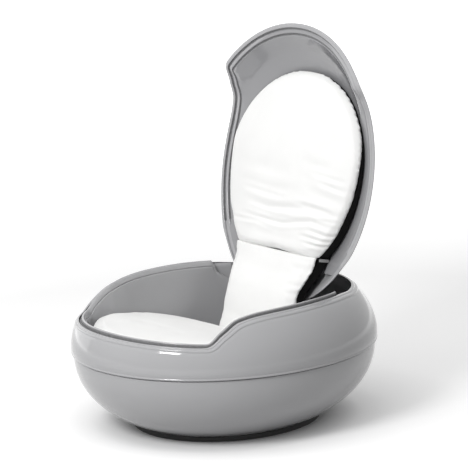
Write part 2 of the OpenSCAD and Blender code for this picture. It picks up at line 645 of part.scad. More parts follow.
// Exposed section of the liner's ridge: steps inwards and up from the shell's inner face
ridge_w = 10.8;
ridge_h = 8.4;
ridge_lift = 2;
ridge_in_share = [0.028, 0.093, 0.278, 0.593, 0.815, 1];
ridge_up_share = [0.19, 0, 0.119, 0.464, 0.738, 1];
ridge_base = lid_gap + ridge_lift;
liner_past_lips = 8;
module lid_liner() {
    // The back of the liner stops ahead of the hinge
    w = liner_t;
    dome_lift = lid_gap + ridge_h;
    rings = concat(
        [for (f = [0.86, 0.64, 0.44, 0.26, 0.1]) lid_ring(f, liner_inset, dome_lift)],
        [for (k = [5 : -1 : 0]) [for (i = [0 : cols - 1])
            over(i, face_high[i] + ridge_in_share[k] * ridge_w, ridge_base + ridge_up_share[k] * ridge_h)]],
        [[for (d = dirs) rim_pt(d, shell_t + flange_play, ridge_base + ridge_up_share[3] * ridge_h + w)]],
        [for (f = [0.12, 0.26, 0.44, 0.64, 0.86]) lid_ring(f, liner_inset - w, dome_lift)]);
    color(liner_grey) swing_open() difference() {
        pillow([0, 0, closed_h - liner_inset], rings, [0, 0, closed_h - liner_inset + w]);
        translate([-chair_w, lip_end_y + liner_past_lips, 0]) cube([2 * chair_w, chair_d, chair_w]);
    }
}

lid_seal_play = 0.7;
lid_seal_past = 0.6;
lid_seal_t = 1.3;
module lid_seal() {
    low = lid_gap + seal_up;
    high = low + lid_seal_t;
    color(rubber) swing_open() strip([for (i = lipped)
        [over(i, face_low[i] + lid_seal_play, low), over(i, face_high[i] + lid_seal_past, low),
            over(i, face_high[i] + lid_seal_past, high), over(i, face_high[i], high)]]);
}

// Hinge: brackets and pins stand on the bowl, arms and bushes ride with the lid

axis = [hinge_y, hinge_z];
plate_t = 6;
plate_w = 40;
plate_l = 74;
plate_past = 12;
plate_x = bracket_x - plate_past;
bolt_in_x = 6;
bolt_in_y = 9;
neck_l = 137.5;
neck_low_z = hinge_z - neck_l;
stop_r = 24;
stop_turn = -152.5;
lug_d = 16;
bumper_d = 10;
heel_turn = -25;
heel_l = 28;
heel_w = 10;
stop_low_z = hinge_z + stop_r * sin(stop_turn) - lug_d / 2;
bolt_spots = [for (x = [bolt_in_x, plate_w - bolt_in_x], side = [-1, 1])
    [plate_x + x, hinge_y + side * (plate_l / 2 - bolt_in_y)]];

module bracket() {
    foot_top = recess_z + plate_t;
    side_plate(bracket_x, bracket_t) difference() {
        union() {
            translate(axis) circle(d = bracket_head_d);
            polygon([[hinge_y - neck_w / 2, hinge_z], [hinge_y - neck_w / 2, neck_low_z],
                [hinge_y - 1.8 * neck_w, foot_top], [hinge_y + 1.8 * neck_w, foot_top],
                [hinge_y + neck_w / 2, neck_low_z], [hinge_y + neck_w / 2, hinge_z]]);
            translate(axis) rotate(stop_turn) {
                translate([0, -lug_d / 2]) square([stop_r, lug_d]);
                translate([stop_r, 0]) circle(d = lug_d);
            }
        }
        translate(axis) circle(d = pin_d);
    }
    difference() {
        translate([plate_x, hinge_y - plate_l / 2, recess_z]) cube([plate_w, plate_l, plate_t]);
        for (p = bolt_spots) translate([p.x, p.y, recess_z - cut]) cylinder(h = 2 * cut, d = bolt_d);
    }
}
module hinge_bracket_left() {
    color(black) bracket();
}
module hinge_bracket_right() {
    color(black) mirror([1, 0, 0]) bracket();
}

bolt_bite = 12;
module bracket_bolts() {
    head_h = 0.6 * bolt_d;
    reach = liner_t + bolt_bite;
    color(steel) both_sides() for (p = bolt_spots) translate([p.x, p.y, recess_z]) {
        translate([0, 0, plate_t]) cylinder(h = head_h, d = 1.7 * bolt_d);
        translate([0, 0, -reach]) cylinder(h = plate_t + reach, d = bolt_d);
    }
}

// The block's flat underside ends at its toe, and its rear end clears the base shell
block_ahead = 40;
block_toe = 27;
block_past = 33;
block_play = 2;
module hinge_block() {
    half = plate_x + plate_w - block_play;
    front_y = hinge_y - block_ahead;
    rear_y = hinge_y + block_past;
    top = recess_z - liner_t - rest_gap;
    rear_z = under_z_at(half, rear_y, shell_t) + block_play;
    color(timber) side_plate(-half, 2 * half) polygon([[front_y, top], [front_y, floor_z],
        [hinge_y - block_toe, floor_z], [rear_y, rear_z], [rear_y, top]]);
}

bush_wall = 3;
bush_flange_d = 22;
clip_x = arm_x + arm_t + side_gap;
clip_t = 2;
pin_head_t = 3;
module pin() {
    translate([bracket_x - pin_head_t, hinge_y, hinge_z]) rotate([0, 90, 0]) {
        cylinder(h = clip_x + 2 * clip_t - bracket_x + pin_head_t, d = pin_d);
        cylinder(h = pin_head_t, d = 1.6 * pin_d);
    }
}
module hinge_pin_left() {
    color(steel) pin();
}
module hinge_pin_right() {
    color(steel) mirror([1, 0, 0]) pin();
}
module pin_clips() {
    color(steel) both_sides() translate([clip_x, hinge_y, hinge_z]) rotate([0, 90, 0]) difference() {
        cylinder(h = clip_t, d = 1.7 * pin_d);
        translate([0, 0, -cut]) cylinder(h = 2 * cut, d = pin_d);
    }
}
module stop_bumpers() {
    at = axis + stop_r * [cos(stop_turn), sin(stop_turn)];
    color(rubber) both_sides() translate([bracket_x + bracket_t, at.x, at.y]) rotate([0, 90, 0])
        cylinder(h = arm_x + arm_t - bracket_x - bracket_t, d = bumper_d);
}

beam_ahead = 130;
beam_w = 36;
beam_h = 18;
beam_wall = 3;
beam_y = hinge_y - beam_ahead;
beam_top_z = dome_z_at(arm_x, beam_y + beam_w, liner_inset) - 3 * rest_gap;
arm_end_half = 9;
arm_end_z = beam_top_z - arm_end_half - beam_wall;
// The arm's upper edge starts a little inside the eye's top, its lower edge just under the pin
eye_blend = 1;
arm_under = 2;
module arm() {
    side_plate(arm_x, arm_t) difference() {
        union() {
            translate(axis) circle(d = arm_eye_d);
            polygon([[hinge_y, hinge_z + arm_eye_d / 2 - eye_blend], [beam_y, arm_end_z + arm_end_half],
                [beam_y, arm_end_z - arm_end_half], [hinge_y, hinge_z - arm_under]]);
            translate(axis) rotate(heel_turn) translate([0, -heel_w / 2]) square([heel_l, heel_w]);
        }
        translate(axis) circle(d = pin_d + 2 * bush_wall);
    }
}
module hinge_arm_left() {
    color(black) swing_open() arm();
}
module hinge_arm_right() {
    color(black) swing_open() mirror([1, 0, 0]) arm();
}
module arm_bushes() {
    color(cotton) swing_open() both_sides() translate([arm_x, hinge_y, hinge_z]) rotate([0, 90, 0])
        difference() {
            union() {
                cylinder(h = arm_t, d = pin_d + 2 * bush_wall);
                translate([0, 0, -bush_flange_t]) cylinder(h = bush_flange_t, d = bush_flange_d);
            }
            translate([0, 0, -cut]) cylinder(h = 2 * cut, d = pin_d + 2 * running_gap);
        }
}
module hinge_beam() {
    w = beam_wall;
    color(black) swing_open() translate([-arm_x, beam_y, beam_top_z - beam_h]) difference() {
        cube([2 * arm_x, beam_w, beam_h]);
        translate([-cut, w, w]) cube([2 * arm_x + 2 * cut, beam_w - 2 * w, beam_h - 2 * w]);
    }
}
beam_bolt_grip = 10;
module beam_bolts() {
    color(steel) swing_open() both_sides()
        translate([arm_x - beam_bolt_grip, beam_y + beam_w / 3, arm_end_z]) rotate([0, 90, 0]) {
            cylinder(h = beam_bolt_grip + arm_t, d = bolt_d);
            translate([0, 0, beam_bolt_grip + arm_t]) cylinder(h = bolt_d / 3, d = 1.5 * bolt_d);
        }
}
module beam_screws() {
    color(steel) swing_open() both_sides() for (x = [0.3, 0.72] * arm_x) {
        top = dome_z_at(x, beam_y + beam_w / 2, liner_inset - liner_t) + bolt_d / 4;
        translate([x, beam_y + beam_w / 2, beam_top_z - beam_h - bolt_d / 2]) {
            cylinder(h = bolt_d / 2, d = 1.5 * bolt_d);
            cylinder(h = top - beam_top_z + beam_h + bolt_d / 2, d = 0.7 * bolt_d);
        }
    }
}

base_shell();
upper_shell();
seam_gasket();
seam_screws();
foot_ring();
foot_screws();
tub_liner();
rim_seal();
seat_pedestal();
seat_cushion();
lower_back_pad();
lower_back_backing();
hinge_block();
hinge_bracket_left();
hinge_bracket_right();
bracket_bolts();
hinge_pin_left();
hinge_pin_right();
pin_clips();
stop_bumpers();
lid_shell();
lid_liner();
lid_seal();
hinge_arm_left();
hinge_arm_right();
arm_bushes();
hinge_beam();
beam_bolts();
beam_screws();
back_core();
back_cushion();
fold_tabs();
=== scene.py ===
import math

import bmesh
import bpy
import numpy as np
from mathutils import Matrix, Vector


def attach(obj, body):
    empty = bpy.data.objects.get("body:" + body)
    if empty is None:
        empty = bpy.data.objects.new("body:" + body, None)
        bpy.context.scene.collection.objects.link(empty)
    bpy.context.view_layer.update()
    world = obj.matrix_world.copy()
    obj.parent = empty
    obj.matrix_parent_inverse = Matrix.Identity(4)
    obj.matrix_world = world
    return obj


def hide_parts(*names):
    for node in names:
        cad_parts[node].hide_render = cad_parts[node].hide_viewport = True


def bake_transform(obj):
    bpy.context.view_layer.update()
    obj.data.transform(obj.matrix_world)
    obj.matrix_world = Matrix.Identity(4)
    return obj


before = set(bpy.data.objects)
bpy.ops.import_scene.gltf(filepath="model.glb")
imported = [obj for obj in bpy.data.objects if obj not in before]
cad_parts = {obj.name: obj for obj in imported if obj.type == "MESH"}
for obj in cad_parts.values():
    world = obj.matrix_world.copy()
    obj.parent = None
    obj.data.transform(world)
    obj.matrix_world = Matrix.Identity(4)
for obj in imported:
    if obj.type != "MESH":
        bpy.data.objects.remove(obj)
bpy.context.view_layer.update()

scene = bpy.context.scene
MM = 0.001

# The egg, in millimetres
HALF_W, HALF_D, CLOSED_H, RIDGE_Z = 380.0, 420.0, 457.0, 217.0
PLAN_POW, DOME_IN, DOME_OUT, UNDER_POW = 2.03, 2.118, 1.986, 2.17
FRONT_Z, ARM_Z = 285.0, 353.0
HINGE = (235.0, 387.5)
OPEN_ANGLE = math.radians(102.4)
SHELL_T, LID_GAP, REAR_DROP = 6.0, 2.5, 3.0
ROLL_W, ROLL_H, INNER_R = 4.6, 4.2, 1.2
LIP_END = 178.0
COLS = 288
HALVINGS = 30

RIM_Y = np.array([-1, -0.786, -0.643, -0.524, -0.405, -0.262, -0.095, 0.19, 0.476, 0.857]) * HALF_D
RIM_RISE = np.array([0.15, 0.04, 0, 0.42, 0.79, 0.93, 0.98, 1, 0.96, 0.885])
RIM_Z = FRONT_Z + (ARM_Z - FRONT_Z) * RIM_RISE


def knot_slopes():
    """Slopes of a curve through the rim's knots that never overshoots them."""
    step = np.diff(RIM_Y)
    sec = np.diff(RIM_Z) / step
    out = [sec[0]]
    for i in range(1, len(RIM_Y) - 1):
        a, b = 2 * step[i] + step[i - 1], step[i] + 2 * step[i - 1]
        out.append(0.0 if sec[i - 1] * sec[i] <= 0 else (a + b) / (a / sec[i - 1] + b / sec[i]))
    return np.array(out + [sec[-1]])


RIM_SLOPE = knot_slopes()


def curve_at(knots, values, slopes, u):
    """A smooth curve through knots, read at u."""
    i = np.clip(np.searchsorted(knots, u, side="right") - 1, 0, len(knots) - 2)
    h = knots[i + 1] - knots[i]
    f = (u - knots[i]) / h
    g = 1 - f
    return (values[i] * (1 + 2 * f) * g * g + slopes[i] * h * f * g * g
            + values[i + 1] * f * f * (3 - 2 * f) - slopes[i + 1] * h * f * f * g)


def rim_z(y):
    """Height of the rim line at a depth."""
    y = np.asarray(y, float)
    z = curve_at(RIM_Y, RIM_Z, RIM_SLOPE, y)
    return np.where(y > RIM_Y[-1], RIM_Z[-1] + RIM_SLOPE[-1] * (y - RIM_Y[-1]), z)


def power(v, e):
    return np.sign(v) * np.abs(v) ** e


QS = np.radians(90 + np.arange(COLS) * 360.0 / COLS)
DX, DY = power(np.cos(QS), 2 / PLAN_POW), power(np.sin(QS), 2 / PLAN_POW)


def dome_z(s, t):
    return RIDGE_Z + (CLOSED_H - t - RIDGE_Z) * np.maximum(0, 1 - s ** DOME_IN) ** (1 / DOME_OUT)


def dome_z_at(x, y, t):
    s = (np.abs(x / (HALF_W - t)) ** PLAN_POW + np.abs(y / (HALF_D - t)) ** PLAN_POW) ** (1 / PLAN_POW)
    return dome_z(np.minimum(1, s), t)


def dome_ring(s, t):
    return np.stack([(HALF_W - t) * DX * s, (HALF_D - t) * DY * s, dome_z(s, t)], 1)


def rim_share(t, lift):
    """The share of the plan at which a dome of thickness t is a lift above the rim line."""
    lo, hi = np.full(COLS, 0.4), np.ones(COLS)
    for _ in range(HALVINGS):
        m = (lo + hi) / 2
        above = dome_z(m, t) - rim_z((HALF_D - t) * DY * m) - lift > 0
        lo, hi = np.where(above, m, lo), np.where(above, hi, m)
    return (lo + hi) / 2


def rim_ring(t, lift):
    return dome_ring(rim_share(t, lift), t)


RIM0 = rim_ring(0, 0)
_e = np.roll(RIM0, -1, 0) - np.roll(RIM0, 1, 0)
_e[:, 2] = 0
_e /= np.linalg.norm(_e, axis=1)[:, None]
INWARD = np.stack([-_e[:, 1], _e[:, 0]], 1)
RY = RIM0[:, 1]


def ease(v, lo, hi):
    f = np.clip((v - lo) / (hi - lo), 0, 1)
    return f * f * (3 - 2 * f)


BEHIND = ease(RY, LIP_END, HINGE[0])


def in_from(h, z):
    """A ring at an inset from the rim line, seen from above."""
    h = np.broadcast_to(np.asarray(h, float), (COLS,))
    z = np.broadcast_to(np.asarray(z, float), (COLS,))
    return np.stack([RIM0[:, 0] + INWARD[:, 0] * h, RIM0[:, 1] + INWARD[:, 1] * h, z], 1)


def over(h, lift):
    """A ring at an inset from the rim line and a height above it."""
    return in_from(h, RIM0[:, 2] + lift)


def level(inset, z, share=1.0):
    """A level ring that follows the plan."""
    x = (HALF_W - inset) * DX * share
    y = (HALF_D - inset) * DY * share
    return np.stack([x, y, np.full(COLS, float(z))], 1)


def skin_ring(f, t, lift):
    """A ring of the bowl's upper wall, from the widest line (0) to the rim (1)."""
    s = rim_share(t, lift - REAR_DROP * BEHIND)
    a = np.arccos(s ** (DOME_IN / 2))
    return dome_ring(np.cos(a * f) ** (2 / DOME_IN), t)


def lid_ring(f, t, lift):
    """A ring of the closed lid, from its edge (0) to the top (1)."""
    a = np.arccos(rim_share(t, lift) ** (DOME_IN / 2))
    return dome_ring(np.cos(a + (math.pi / 2 - a) * f) ** (2 / DOME_IN), t)


def opened(v, angle=OPEN_ANGLE):
    """From the closed to the open place of the lid."""
    v = np.array(v, float)
    dy, dz = v[:, 1] - HINGE[0], v[:, 2] - HINGE[1]
    c, s = math.cos(angle), math.sin(angle)
    return np.stack([v[:, 0], HINGE[0] + dy * c + dz * s, HINGE[1] - dy * s + dz * c], 1)


# Mesh helpers
def make(name, verts, faces, sharp=32.0):
    me = bpy.data.meshes.new(name)
    me.from_pydata((np.asarray(verts) * MM).tolist(), [], faces)
    me.validate()
    me.update()
    ob = bpy.data.objects.new(name, me)
    scene.collection.objects.link(ob)
    finish_shading(ob, sharp)
    return ob


def finish_shading(ob, sharp=32.0):
    ob.data.polygons.foreach_set("use_smooth", [True] * len(ob.data.polygons))
    ob.data.set_sharp_from_angle(angle=math.radians(sharp))


def ring_faces(m, n, wrap):
    out = []
    for r in range(m if wrap else m - 1):
        r2 = (r + 1) % m
        for i in range(n):
            j = (i + 1) % n
            out.append((r * n + i, r * n + j, r2 * n + j, r2 * n + i))
    return out


def cap_strips(base, n, up):
    out = []
    for i in range(n // 2):
        q = [base + i, base + i + 1, base + (n - i - 1) % n, base + (n - i) % n]
        q = list(dict.fromkeys(q))
        out.append(tuple(q) if up else tuple(reversed(q)))
    return out


def hoop(name, rings, **kw):
    n = len(rings[0])
    return make(name, np.concatenate(rings), ring_faces(len(rings), n, True), **kw)


def slab(name, rings, **kw):
    n, m = len(rings[0]), len(rings)
    faces = ring_faces(m, n, False) + cap_strips(0, n, False) + cap_strips((m - 1) * n, n, True)
    return make(name, np.concatenate(rings), faces, **kw)


def pillow(name, first, rings, last, **kw):
    n, m = len(rings[0]), len(rings)
    v = np.concatenate(list(rings) + [np.array([first, last], float)])
    faces = ring_faces(m, n, False)
    faces += [(n * m, (i + 1) % n, i) for i in range(n)]
    faces += [((m - 1) * n + i, (m - 1) * n + (i + 1) % n, n * m + 1) for i in range(n)]
    return make(name, v, faces, **kw)


def strip(name, sections, **kw):
    n, m = len(sections[0]), len(sections)
    faces = ring_faces(m, n, False)
    faces.append(tuple(reversed(range(n))))
    faces.append(tuple((m - 1) * n + i for i in range(n)))
    return make(name, np.concatenate(sections), faces, **kw)


def apply_modifiers(ob):
    deps = bpy.context.evaluated_depsgraph_get()
    me = bpy.data.meshes.new_from_object(ob.evaluated_get(deps), depsgraph=deps)
    old = ob.data
    ob.modifiers.clear()
    ob.data = me
    bpy.data.meshes.remove(old)


def cut_boxes(ob, boxes):
    """Cuts boxes, given by their corners in millimetres, out of an object."""
    for lo, hi in boxes:
        bm = bmesh.new()
        bmesh.ops.create_cube(bm, size=1)
        lo, hi = np.array(lo, float), np.array(hi, float)
        for v in bm.verts:
            v.co = Vector(((lo + (hi - lo) * (np.array(v.co) + 0.5)) * MM).tolist())
        me = bpy.data.meshes.new("cutter")
        bm.to_mesh(me)
        bm.free()
        tool = bpy.data.objects.new("cutter", me)
        scene.collection.objects.link(tool)
        mod = ob.modifiers.new("cut", "BOOLEAN")
        mod.operation, mod.object, mod.solver = "DIFFERENCE", tool, "EXACT"
        apply_modifiers(ob)
        bpy.data.objects.remove(tool)
        bpy.data.meshes.remove(me)


def coords(ob):
    co = np.empty(len(ob.data.vertices) * 3)
    ob.data.vertices.foreach_get("co", co)
    return co.reshape(-1, 3)


def set_coords(ob, co):
    ob.data.vertices.foreach_set("co", co.ravel())
    ob.data.update()


def normals(ob):
    no = np.empty(len(ob.data.vertices) * 3)
    ob.data.vertices.foreach_get("normal", no)
    return no.reshape(-1, 3)


def swing_mesh(ob):
    """Swings a mesh that was built closed to its open place."""
    set_coords(ob, opened(coords(ob) / MM) * MM)


def spline(points, n):
    """Points on a smooth curve through the given ones."""
    p = np.array(points, float)
    p = np.concatenate([[2 * p[0] - p[1]], p, [2 * p[-1] - p[-2]]])
    out = []
    for u in np.linspace(0, len(points) - 1, n):
        k = min(int(u), len(points) - 2)
        t = u - k
        a, b, c, d = p[k], p[k + 1], p[k + 2], p[k + 3]
        out.append(0.5 * (2 * b + (c - a) * t + (2 * a - 5 * b + 4 * c - d) * t * t
                          + (3 * b - a - 3 * c + d) * t ** 3))
    return np.array(out)


def arc(n):
    """Angles from 0 to a quarter turn in n steps."""
    return [math.pi / 2 * k / n for k in range(n + 1)]


# Materials
def node_material(name):
    mat = bpy.data.materials.new(name)
    mat.use_nodes = True
    nt = mat.node_tree
    nt.nodes.clear()
    out = nt.nodes.new("ShaderNodeOutputMaterial")
    bsdf = nt.nodes.new("ShaderNodeBsdfPrincipled")
    nt.links.new(bsdf.outputs[0], out.inputs[0])
    return mat, nt, bsdf


def add(nt, kind, operation=None):
    n = nt.nodes.new(kind)
    if operation:
        n.operation = operation
    return n


def noise_node(nt, coord, scale, detail=3.0, rough=0.5):
    n = add(nt, "ShaderNodeTexNoise")
    n.inputs["Scale"].default_value = scale
    n.inputs["Detail"].default_value = detail
    n.inputs["Roughness"].default_value = rough
    nt.links.new(coord, n.inputs["Vector"])
    return n


def ramp_node(nt, fac, stops):
    r = add(nt, "ShaderNodeValToRGB")
    el = r.color_ramp.elements
    while len(el) < len(stops):
        el.new(0.5)
    for e, (place, col) in zip(el, stops):
        e.position = place
        e.color = (*col, 1)
    nt.links.new(fac, r.inputs[0])
    return r


def object_coords(nt):
    return add(nt, "ShaderNodeTexCoord").outputs["Object"]


def tone_drift(nt, b, fac, low, high):
    """Base colour that drifts between two tones, each given as (place on the ramp, colour)."""
    stops = [(place, tuple(np.minimum(1, col))) for place, col in (low, high)]
    tone = ramp_node(nt, fac, stops)
    nt.links.new(tone.outputs[0], b.inputs["Base Color"])


def gloss_drift(nt, b, fac, seen, rough):
    """Roughness that drifts between two values over a stretch of the noise."""
    node = add(nt, "ShaderNodeMapRange")
    for side, (low, high) in (("From", seen), ("To", rough)):
        node.inputs[side + " Min"].default_value = low
        node.inputs[side + " Max"].default_value = high
    nt.links.new(fac, node.inputs["Value"])
    nt.links.new(node.outputs[0], b.inputs["Roughness"])


def relief(nt, b, height, strength, depth):
    bump = add(nt, "ShaderNodeBump")
    bump.inputs["Strength"].default_value = strength
    bump.inputs["Distance"].default_value = depth
    nt.links.new(height, bump.inputs["Height"])
    nt.links.new(bump.outputs[0], b.inputs["Normal"])


def lacquer(name, col, rough=0.05):
    """Sprayed gloss: slow tone drift, faint peel, a little dust in the gloss."""
    drift_scale, dust_scale, peel_scale = 3.0, 240.0, 42.0
    dark, light, dusty = 0.965, 1.03, 0.035
    peel, peel_depth = 0.03, 0.0006
    mat, nt, b = node_material(name)
    co = object_coords(nt)
    c = np.array(col)
    drift = noise_node(nt, co, drift_scale, 2.0)
    tone_drift(nt, b, drift.outputs["Fac"], (0.3, c * dark), (0.7, c * light))
    dust = noise_node(nt, co, dust_scale, 4.0)
    gloss_drift(nt, b, dust.outputs["Fac"], (0.35, 0.75), (rough, rough + dusty))
    wave = noise_node(nt, co, peel_scale, 1.0)
    relief(nt, b, wave.outputs["Fac"], peel, peel_depth)
    b.inputs["IOR"].default_value = 1.5
    b.inputs["Coat Weight"].default_value = 0.35
    b.inputs["Coat Roughness"].default_value = 0.03
    return mat


def thread_wave(nt, co, axis, thread):
    """Threads that run side by side along an axis."""
    bands_per_unit = 6.4
    w = add(nt, "ShaderNodeTexWave")
    w.wave_type = "BANDS"
    w.bands_direction = axis
    w.wave_profile = "SIN"
    w.inputs["Scale"].default_value = 1.0 / thread / bands_per_unit
    w.inputs["Distortion"].default_value = 0.6
    w.inputs["Detail"].default_value = 1.0
    w.inputs["Detail Scale"].default_value = 2.0
    nt.links.new(co, w.inputs["Vector"])
    return w.outputs["Fac"]


def sum_node(nt, a, b):
    total = add(nt, "ShaderNodeMath", "ADD")
    nt.links.new(a, total.inputs[0])
    nt.links.new(b, total.inputs[1])
    return total.outputs[0]


def cloth(name, col, thread=0.0011, rough=0.9, sheen=0.25):
    """Plain weave: two crossed thread waves, slubs, a slow tone drift."""
    slub_scale, drift_scale, dark = 260.0, 7.0, 0.97
    weave_strength, weave_depth = 0.5, 0.0002
    mat, nt, b = node_material(name)
    co = object_coords(nt)
    weave = sum_node(nt, thread_wave(nt, co, "X", thread), thread_wave(nt, co, "Z", thread))
    slub = noise_node(nt, co, slub_scale, 3.0)
    relief(nt, b, sum_node(nt, weave, slub.outputs["Fac"]), weave_strength, weave_depth)
    c = np.array(col)
    drift = noise_node(nt, co, drift_scale, 4.0, 0.6)
    tone_drift(nt, b, drift.outputs["Fac"], (0.35, c * dark), (0.65, c))
    b.inputs["Roughness"].default_value = rough
    b.inputs["Sheen Weight"].default_value = sheen
    b.inputs["Sheen Roughness"].default_value = 0.5
    b.inputs["Specular IOR Level"].default_value = 0.25
    return mat


def rough_stuff(name, col, rough, grain=180.0, metal=0.0, spread=0.25, stretch=(1, 1, 1)):
    """Rubber, painted or bare metal, wood: noise in tone, gloss and relief."""
    smoother, rougher = 0.85, 1.15
    grain_strength, grain_depth = 0.35, 0.0003
    mat, nt, b = node_material(name)
    mapping = add(nt, "ShaderNodeMapping")
    mapping.inputs["Scale"].default_value = stretch
    nt.links.new(object_coords(nt), mapping.inputs["Vector"])
    fac = noise_node(nt, mapping.outputs[0], grain, 5.0, 0.6).outputs["Fac"]
    c = np.array(col)
    tone_drift(nt, b, fac, (0.3, c * (1 - spread)), (0.7, c * (1 + spread)))
    gloss_drift(nt, b, fac, (0.0, 1.0), (rough * smoother, min(1.0, rough * rougher)))
    relief(nt, b, fac, grain_strength, grain_depth)
    b.inputs["Metallic"].default_value = metal
    return mat


M_LACQUER = lacquer("lacquer_grey", (0.385, 0.385, 0.395))
M_LINER = lacquer("liner_grey", (0.385, 0.385, 0.395), rough=0.1)
M_COTTON = cloth("cotton_white", (0.865, 0.865, 0.857))
# tan for the cord across the fold: painted shade of the crease between back cushion and lower pad
M_FOLD_SHADE = cloth("fold_crease_shade", (0.62, 0.55, 0.44), thread=0.0008)
# a darker copy of the liner lacquer for the lid's hollow: painted shade
M_LINER_PAINTED_SHADE = lacquer("lid_liner_painted_shade_grey", (0.3, 0.3, 0.31), rough=0.1)
M_BLACK = cloth("black_cloth", (0.006, 0.006, 0.006), sheen=0.0, rough=0.95)
M_WEB = cloth("grey_webbing", (0.42, 0.42, 0.42), thread=0.0016)
M_RUBBER = rough_stuff("rubber_dark", (0.025, 0.025, 0.026), 0.6)
M_SEAL = rough_stuff("seal_dark", (0.19, 0.19, 0.195), 0.5)
# the lid seal's grey, used too for the strip that paints shade in the ridge's inner groove
M_LIDSEAL_AND_SHADE = rough_stuff("lid_seal_and_groove_shade_grey", (0.17, 0.17, 0.175), 0.5)
M_GASKET = rough_stuff("gasket_grey", (0.12, 0.12, 0.123), 0.5)
M_FOOT = rough_stuff("foot_rubber", (0.018, 0.018, 0.018), 0.65)
M_STEEL = rough_stuff("zinc_steel", (0.55, 0.56, 0.58), 0.32, metal=1.0, spread=0.1)
M_PIN = rough_stuff("ground_steel", (0.62, 0.63, 0.65), 0.2, metal=1.0, spread=0.06, stretch=(1, 6, 6))
M_PAINT = rough_stuff("black_paint", (0.02, 0.02, 0.021), 0.38, grain=90.0)
M_BUSH = rough_stuff("bush_plastic", (0.75, 0.73, 0.66), 0.45, spread=0.05)
M_WOOD = rough_stuff("plywood", (0.5, 0.36, 0.21), 0.6, grain=40.0, stretch=(1, 1, 9))


def dress(ob, mat, body, nodes=()):
    """Gives a piece its material and body, and hides the nodes that it stands for."""
    ob.data.materials.clear()
    ob.data.materials.append(mat)
    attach(ob, body)
    if nodes:
        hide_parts(*nodes)
    return ob


def paint(node, mat):
    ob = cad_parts[node]
    if not ob.material_slots:
        ob.data.materials.append(mat)
    for s in ob.material_slots:
        s.material = mat


for _n in ("seam_screws", "foot_screws", "bracket_bolts", "beam_bolts", "beam_screws"):
    paint(_n, M_STEEL)
for _n in ("hinge_pin_left", "hinge_pin_right", "pin_clips"):
    paint(_n, M_PIN)
for _n in ("hinge_bracket_left", "hinge_bracket_right", "hinge_arm_left", "hinge_arm_right", "hinge_beam"):
    paint(_n, M_PAINT)
for _n in ("seat_pedestal", "hinge_block"):
    paint(_n, M_WOOD)
paint("stop_bumpers", M_RUBBER)
paint("arm_bushes", M_BUSH)
paint("foot_ring", M_FOOT)

# Bowl shells
SEAM_INSET, SEAM_TOP, SEAM_LOW, FLANGE_W = 6.0, 203.0, 201.0, 18.0
FOOT_H, FLAT_SHARE, FOOT_SHARE = 12.0, 0.58, 0.622
BASE_EDGE_R = 1.5
_rise = 1 - (1 - FOOT_SHARE ** UNDER_POW) ** (1 / UNDER_POW)
UNDER_Z0 = (FOOT_H + 1 - SEAM_LOW * _rise) / (1 - _rise)
FOOT_TURN = math.acos(FOOT_SHARE ** (UNDER_POW / 2))


def under_ring(f, t):
    """A ring of the lower shell, from the seam (0) to the foot (1), for a thickness t."""
    r = math.cos(FOOT_TURN * f) ** (2 / UNDER_POW)
    k = math.sin(FOOT_TURN * f) ** (2 / UNDER_POW) if f > 0 else 0.0
    z0 = UNDER_Z0 + t
    return level(SEAM_INSET + t, z0 + (SEAM_LOW - z0) * (1 - k), r)


def base_shell():
    r = BASE_EDGE_R
    low = SEAM_LOW - SHELL_T
    rings = [level(SEAM_INSET, FOOT_H, FLAT_SHARE * 0.5), level(SEAM_INSET, FOOT_H, FLAT_SHARE)]
    rings += [under_ring(f, 0) for f in np.linspace(1, 0.02, 34)]
    rings += [level(SEAM_INSET + r * (1 - math.cos(a)), SEAM_LOW - r * (1 - math.sin(a))) for a in arc(4)]
    rings += [level(SEAM_INSET + FLANGE_W, SEAM_LOW), level(SEAM_INSET + FLANGE_W, low)]
    rings.append(level(SEAM_INSET + 2 * SHELL_T, low))
    rings += [under_ring(f, SHELL_T) for f in np.linspace(0.2, 0.95, 12)]
    rings.append(level(SEAM_INSET + SHELL_T, FOOT_H + SHELL_T, FLAT_SHARE))
    return slab("bowl_base_skin", rings)


# inset and rise of the rounded bead on the lower edge, over the seam, and of the hollow above it
SEAM_BEAD = [(SEAM_INSET, 0), (4.4, 0), (2.4, 0.4), (0.8, 1.6), (0.3, 3.2), (0.7, 4.6), (1.3, 5.6),
             (1.4, 6.8), (0.9, 9.5), (0.35, 12.5), (0.1, 15.6)]
# thickness inward and lift of the rim's outer face: hollow, roll, fine groove, top edge
RIM_EDGE = [(0, -17), (0.25, -14.5), (0.55, -12.6), (0.55, -11.2), (0.1, -10), (-0.7, -8.8), (-1.05, -7.2),
            (-0.75, -5.6), (0.2, -4.5), (1.5, -3.5), (1.4, -2.6), (1.0, -1.3), (1.5, -0.4), (2.6, 0)]


def upper_shell():
    flange, top = SEAM_INSET + FLANGE_W, SEAM_TOP + SHELL_T
    rings = [level(inset, SEAM_TOP + rise) for inset, rise in spline(SEAM_BEAD, 34)]
    rings += [skin_ring(f, 0, RIM_EDGE[0][1]) for f in np.linspace(0.03, 1, 26)]
    rings += [skin_ring(1, t, lift) for t, lift in spline(RIM_EDGE, 44)[1:]]
    rings += [skin_ring(1, SHELL_T - INNER_R * (1 - math.cos(a)), -INNER_R * (1 - math.sin(a)))
              for a in reversed(arc(3)[1:])]
    rings += [skin_ring(f, SHELL_T, -ROLL_H) for f in np.linspace(1, 0, 16)]
    rings += [level(SEAM_INSET + SHELL_T, top), level(flange, top), level(flange, SEAM_TOP)]
    return hoop("bowl_upper_skin", rings)


GASKET_INSET, GASKET_R = 1.5, 0.5


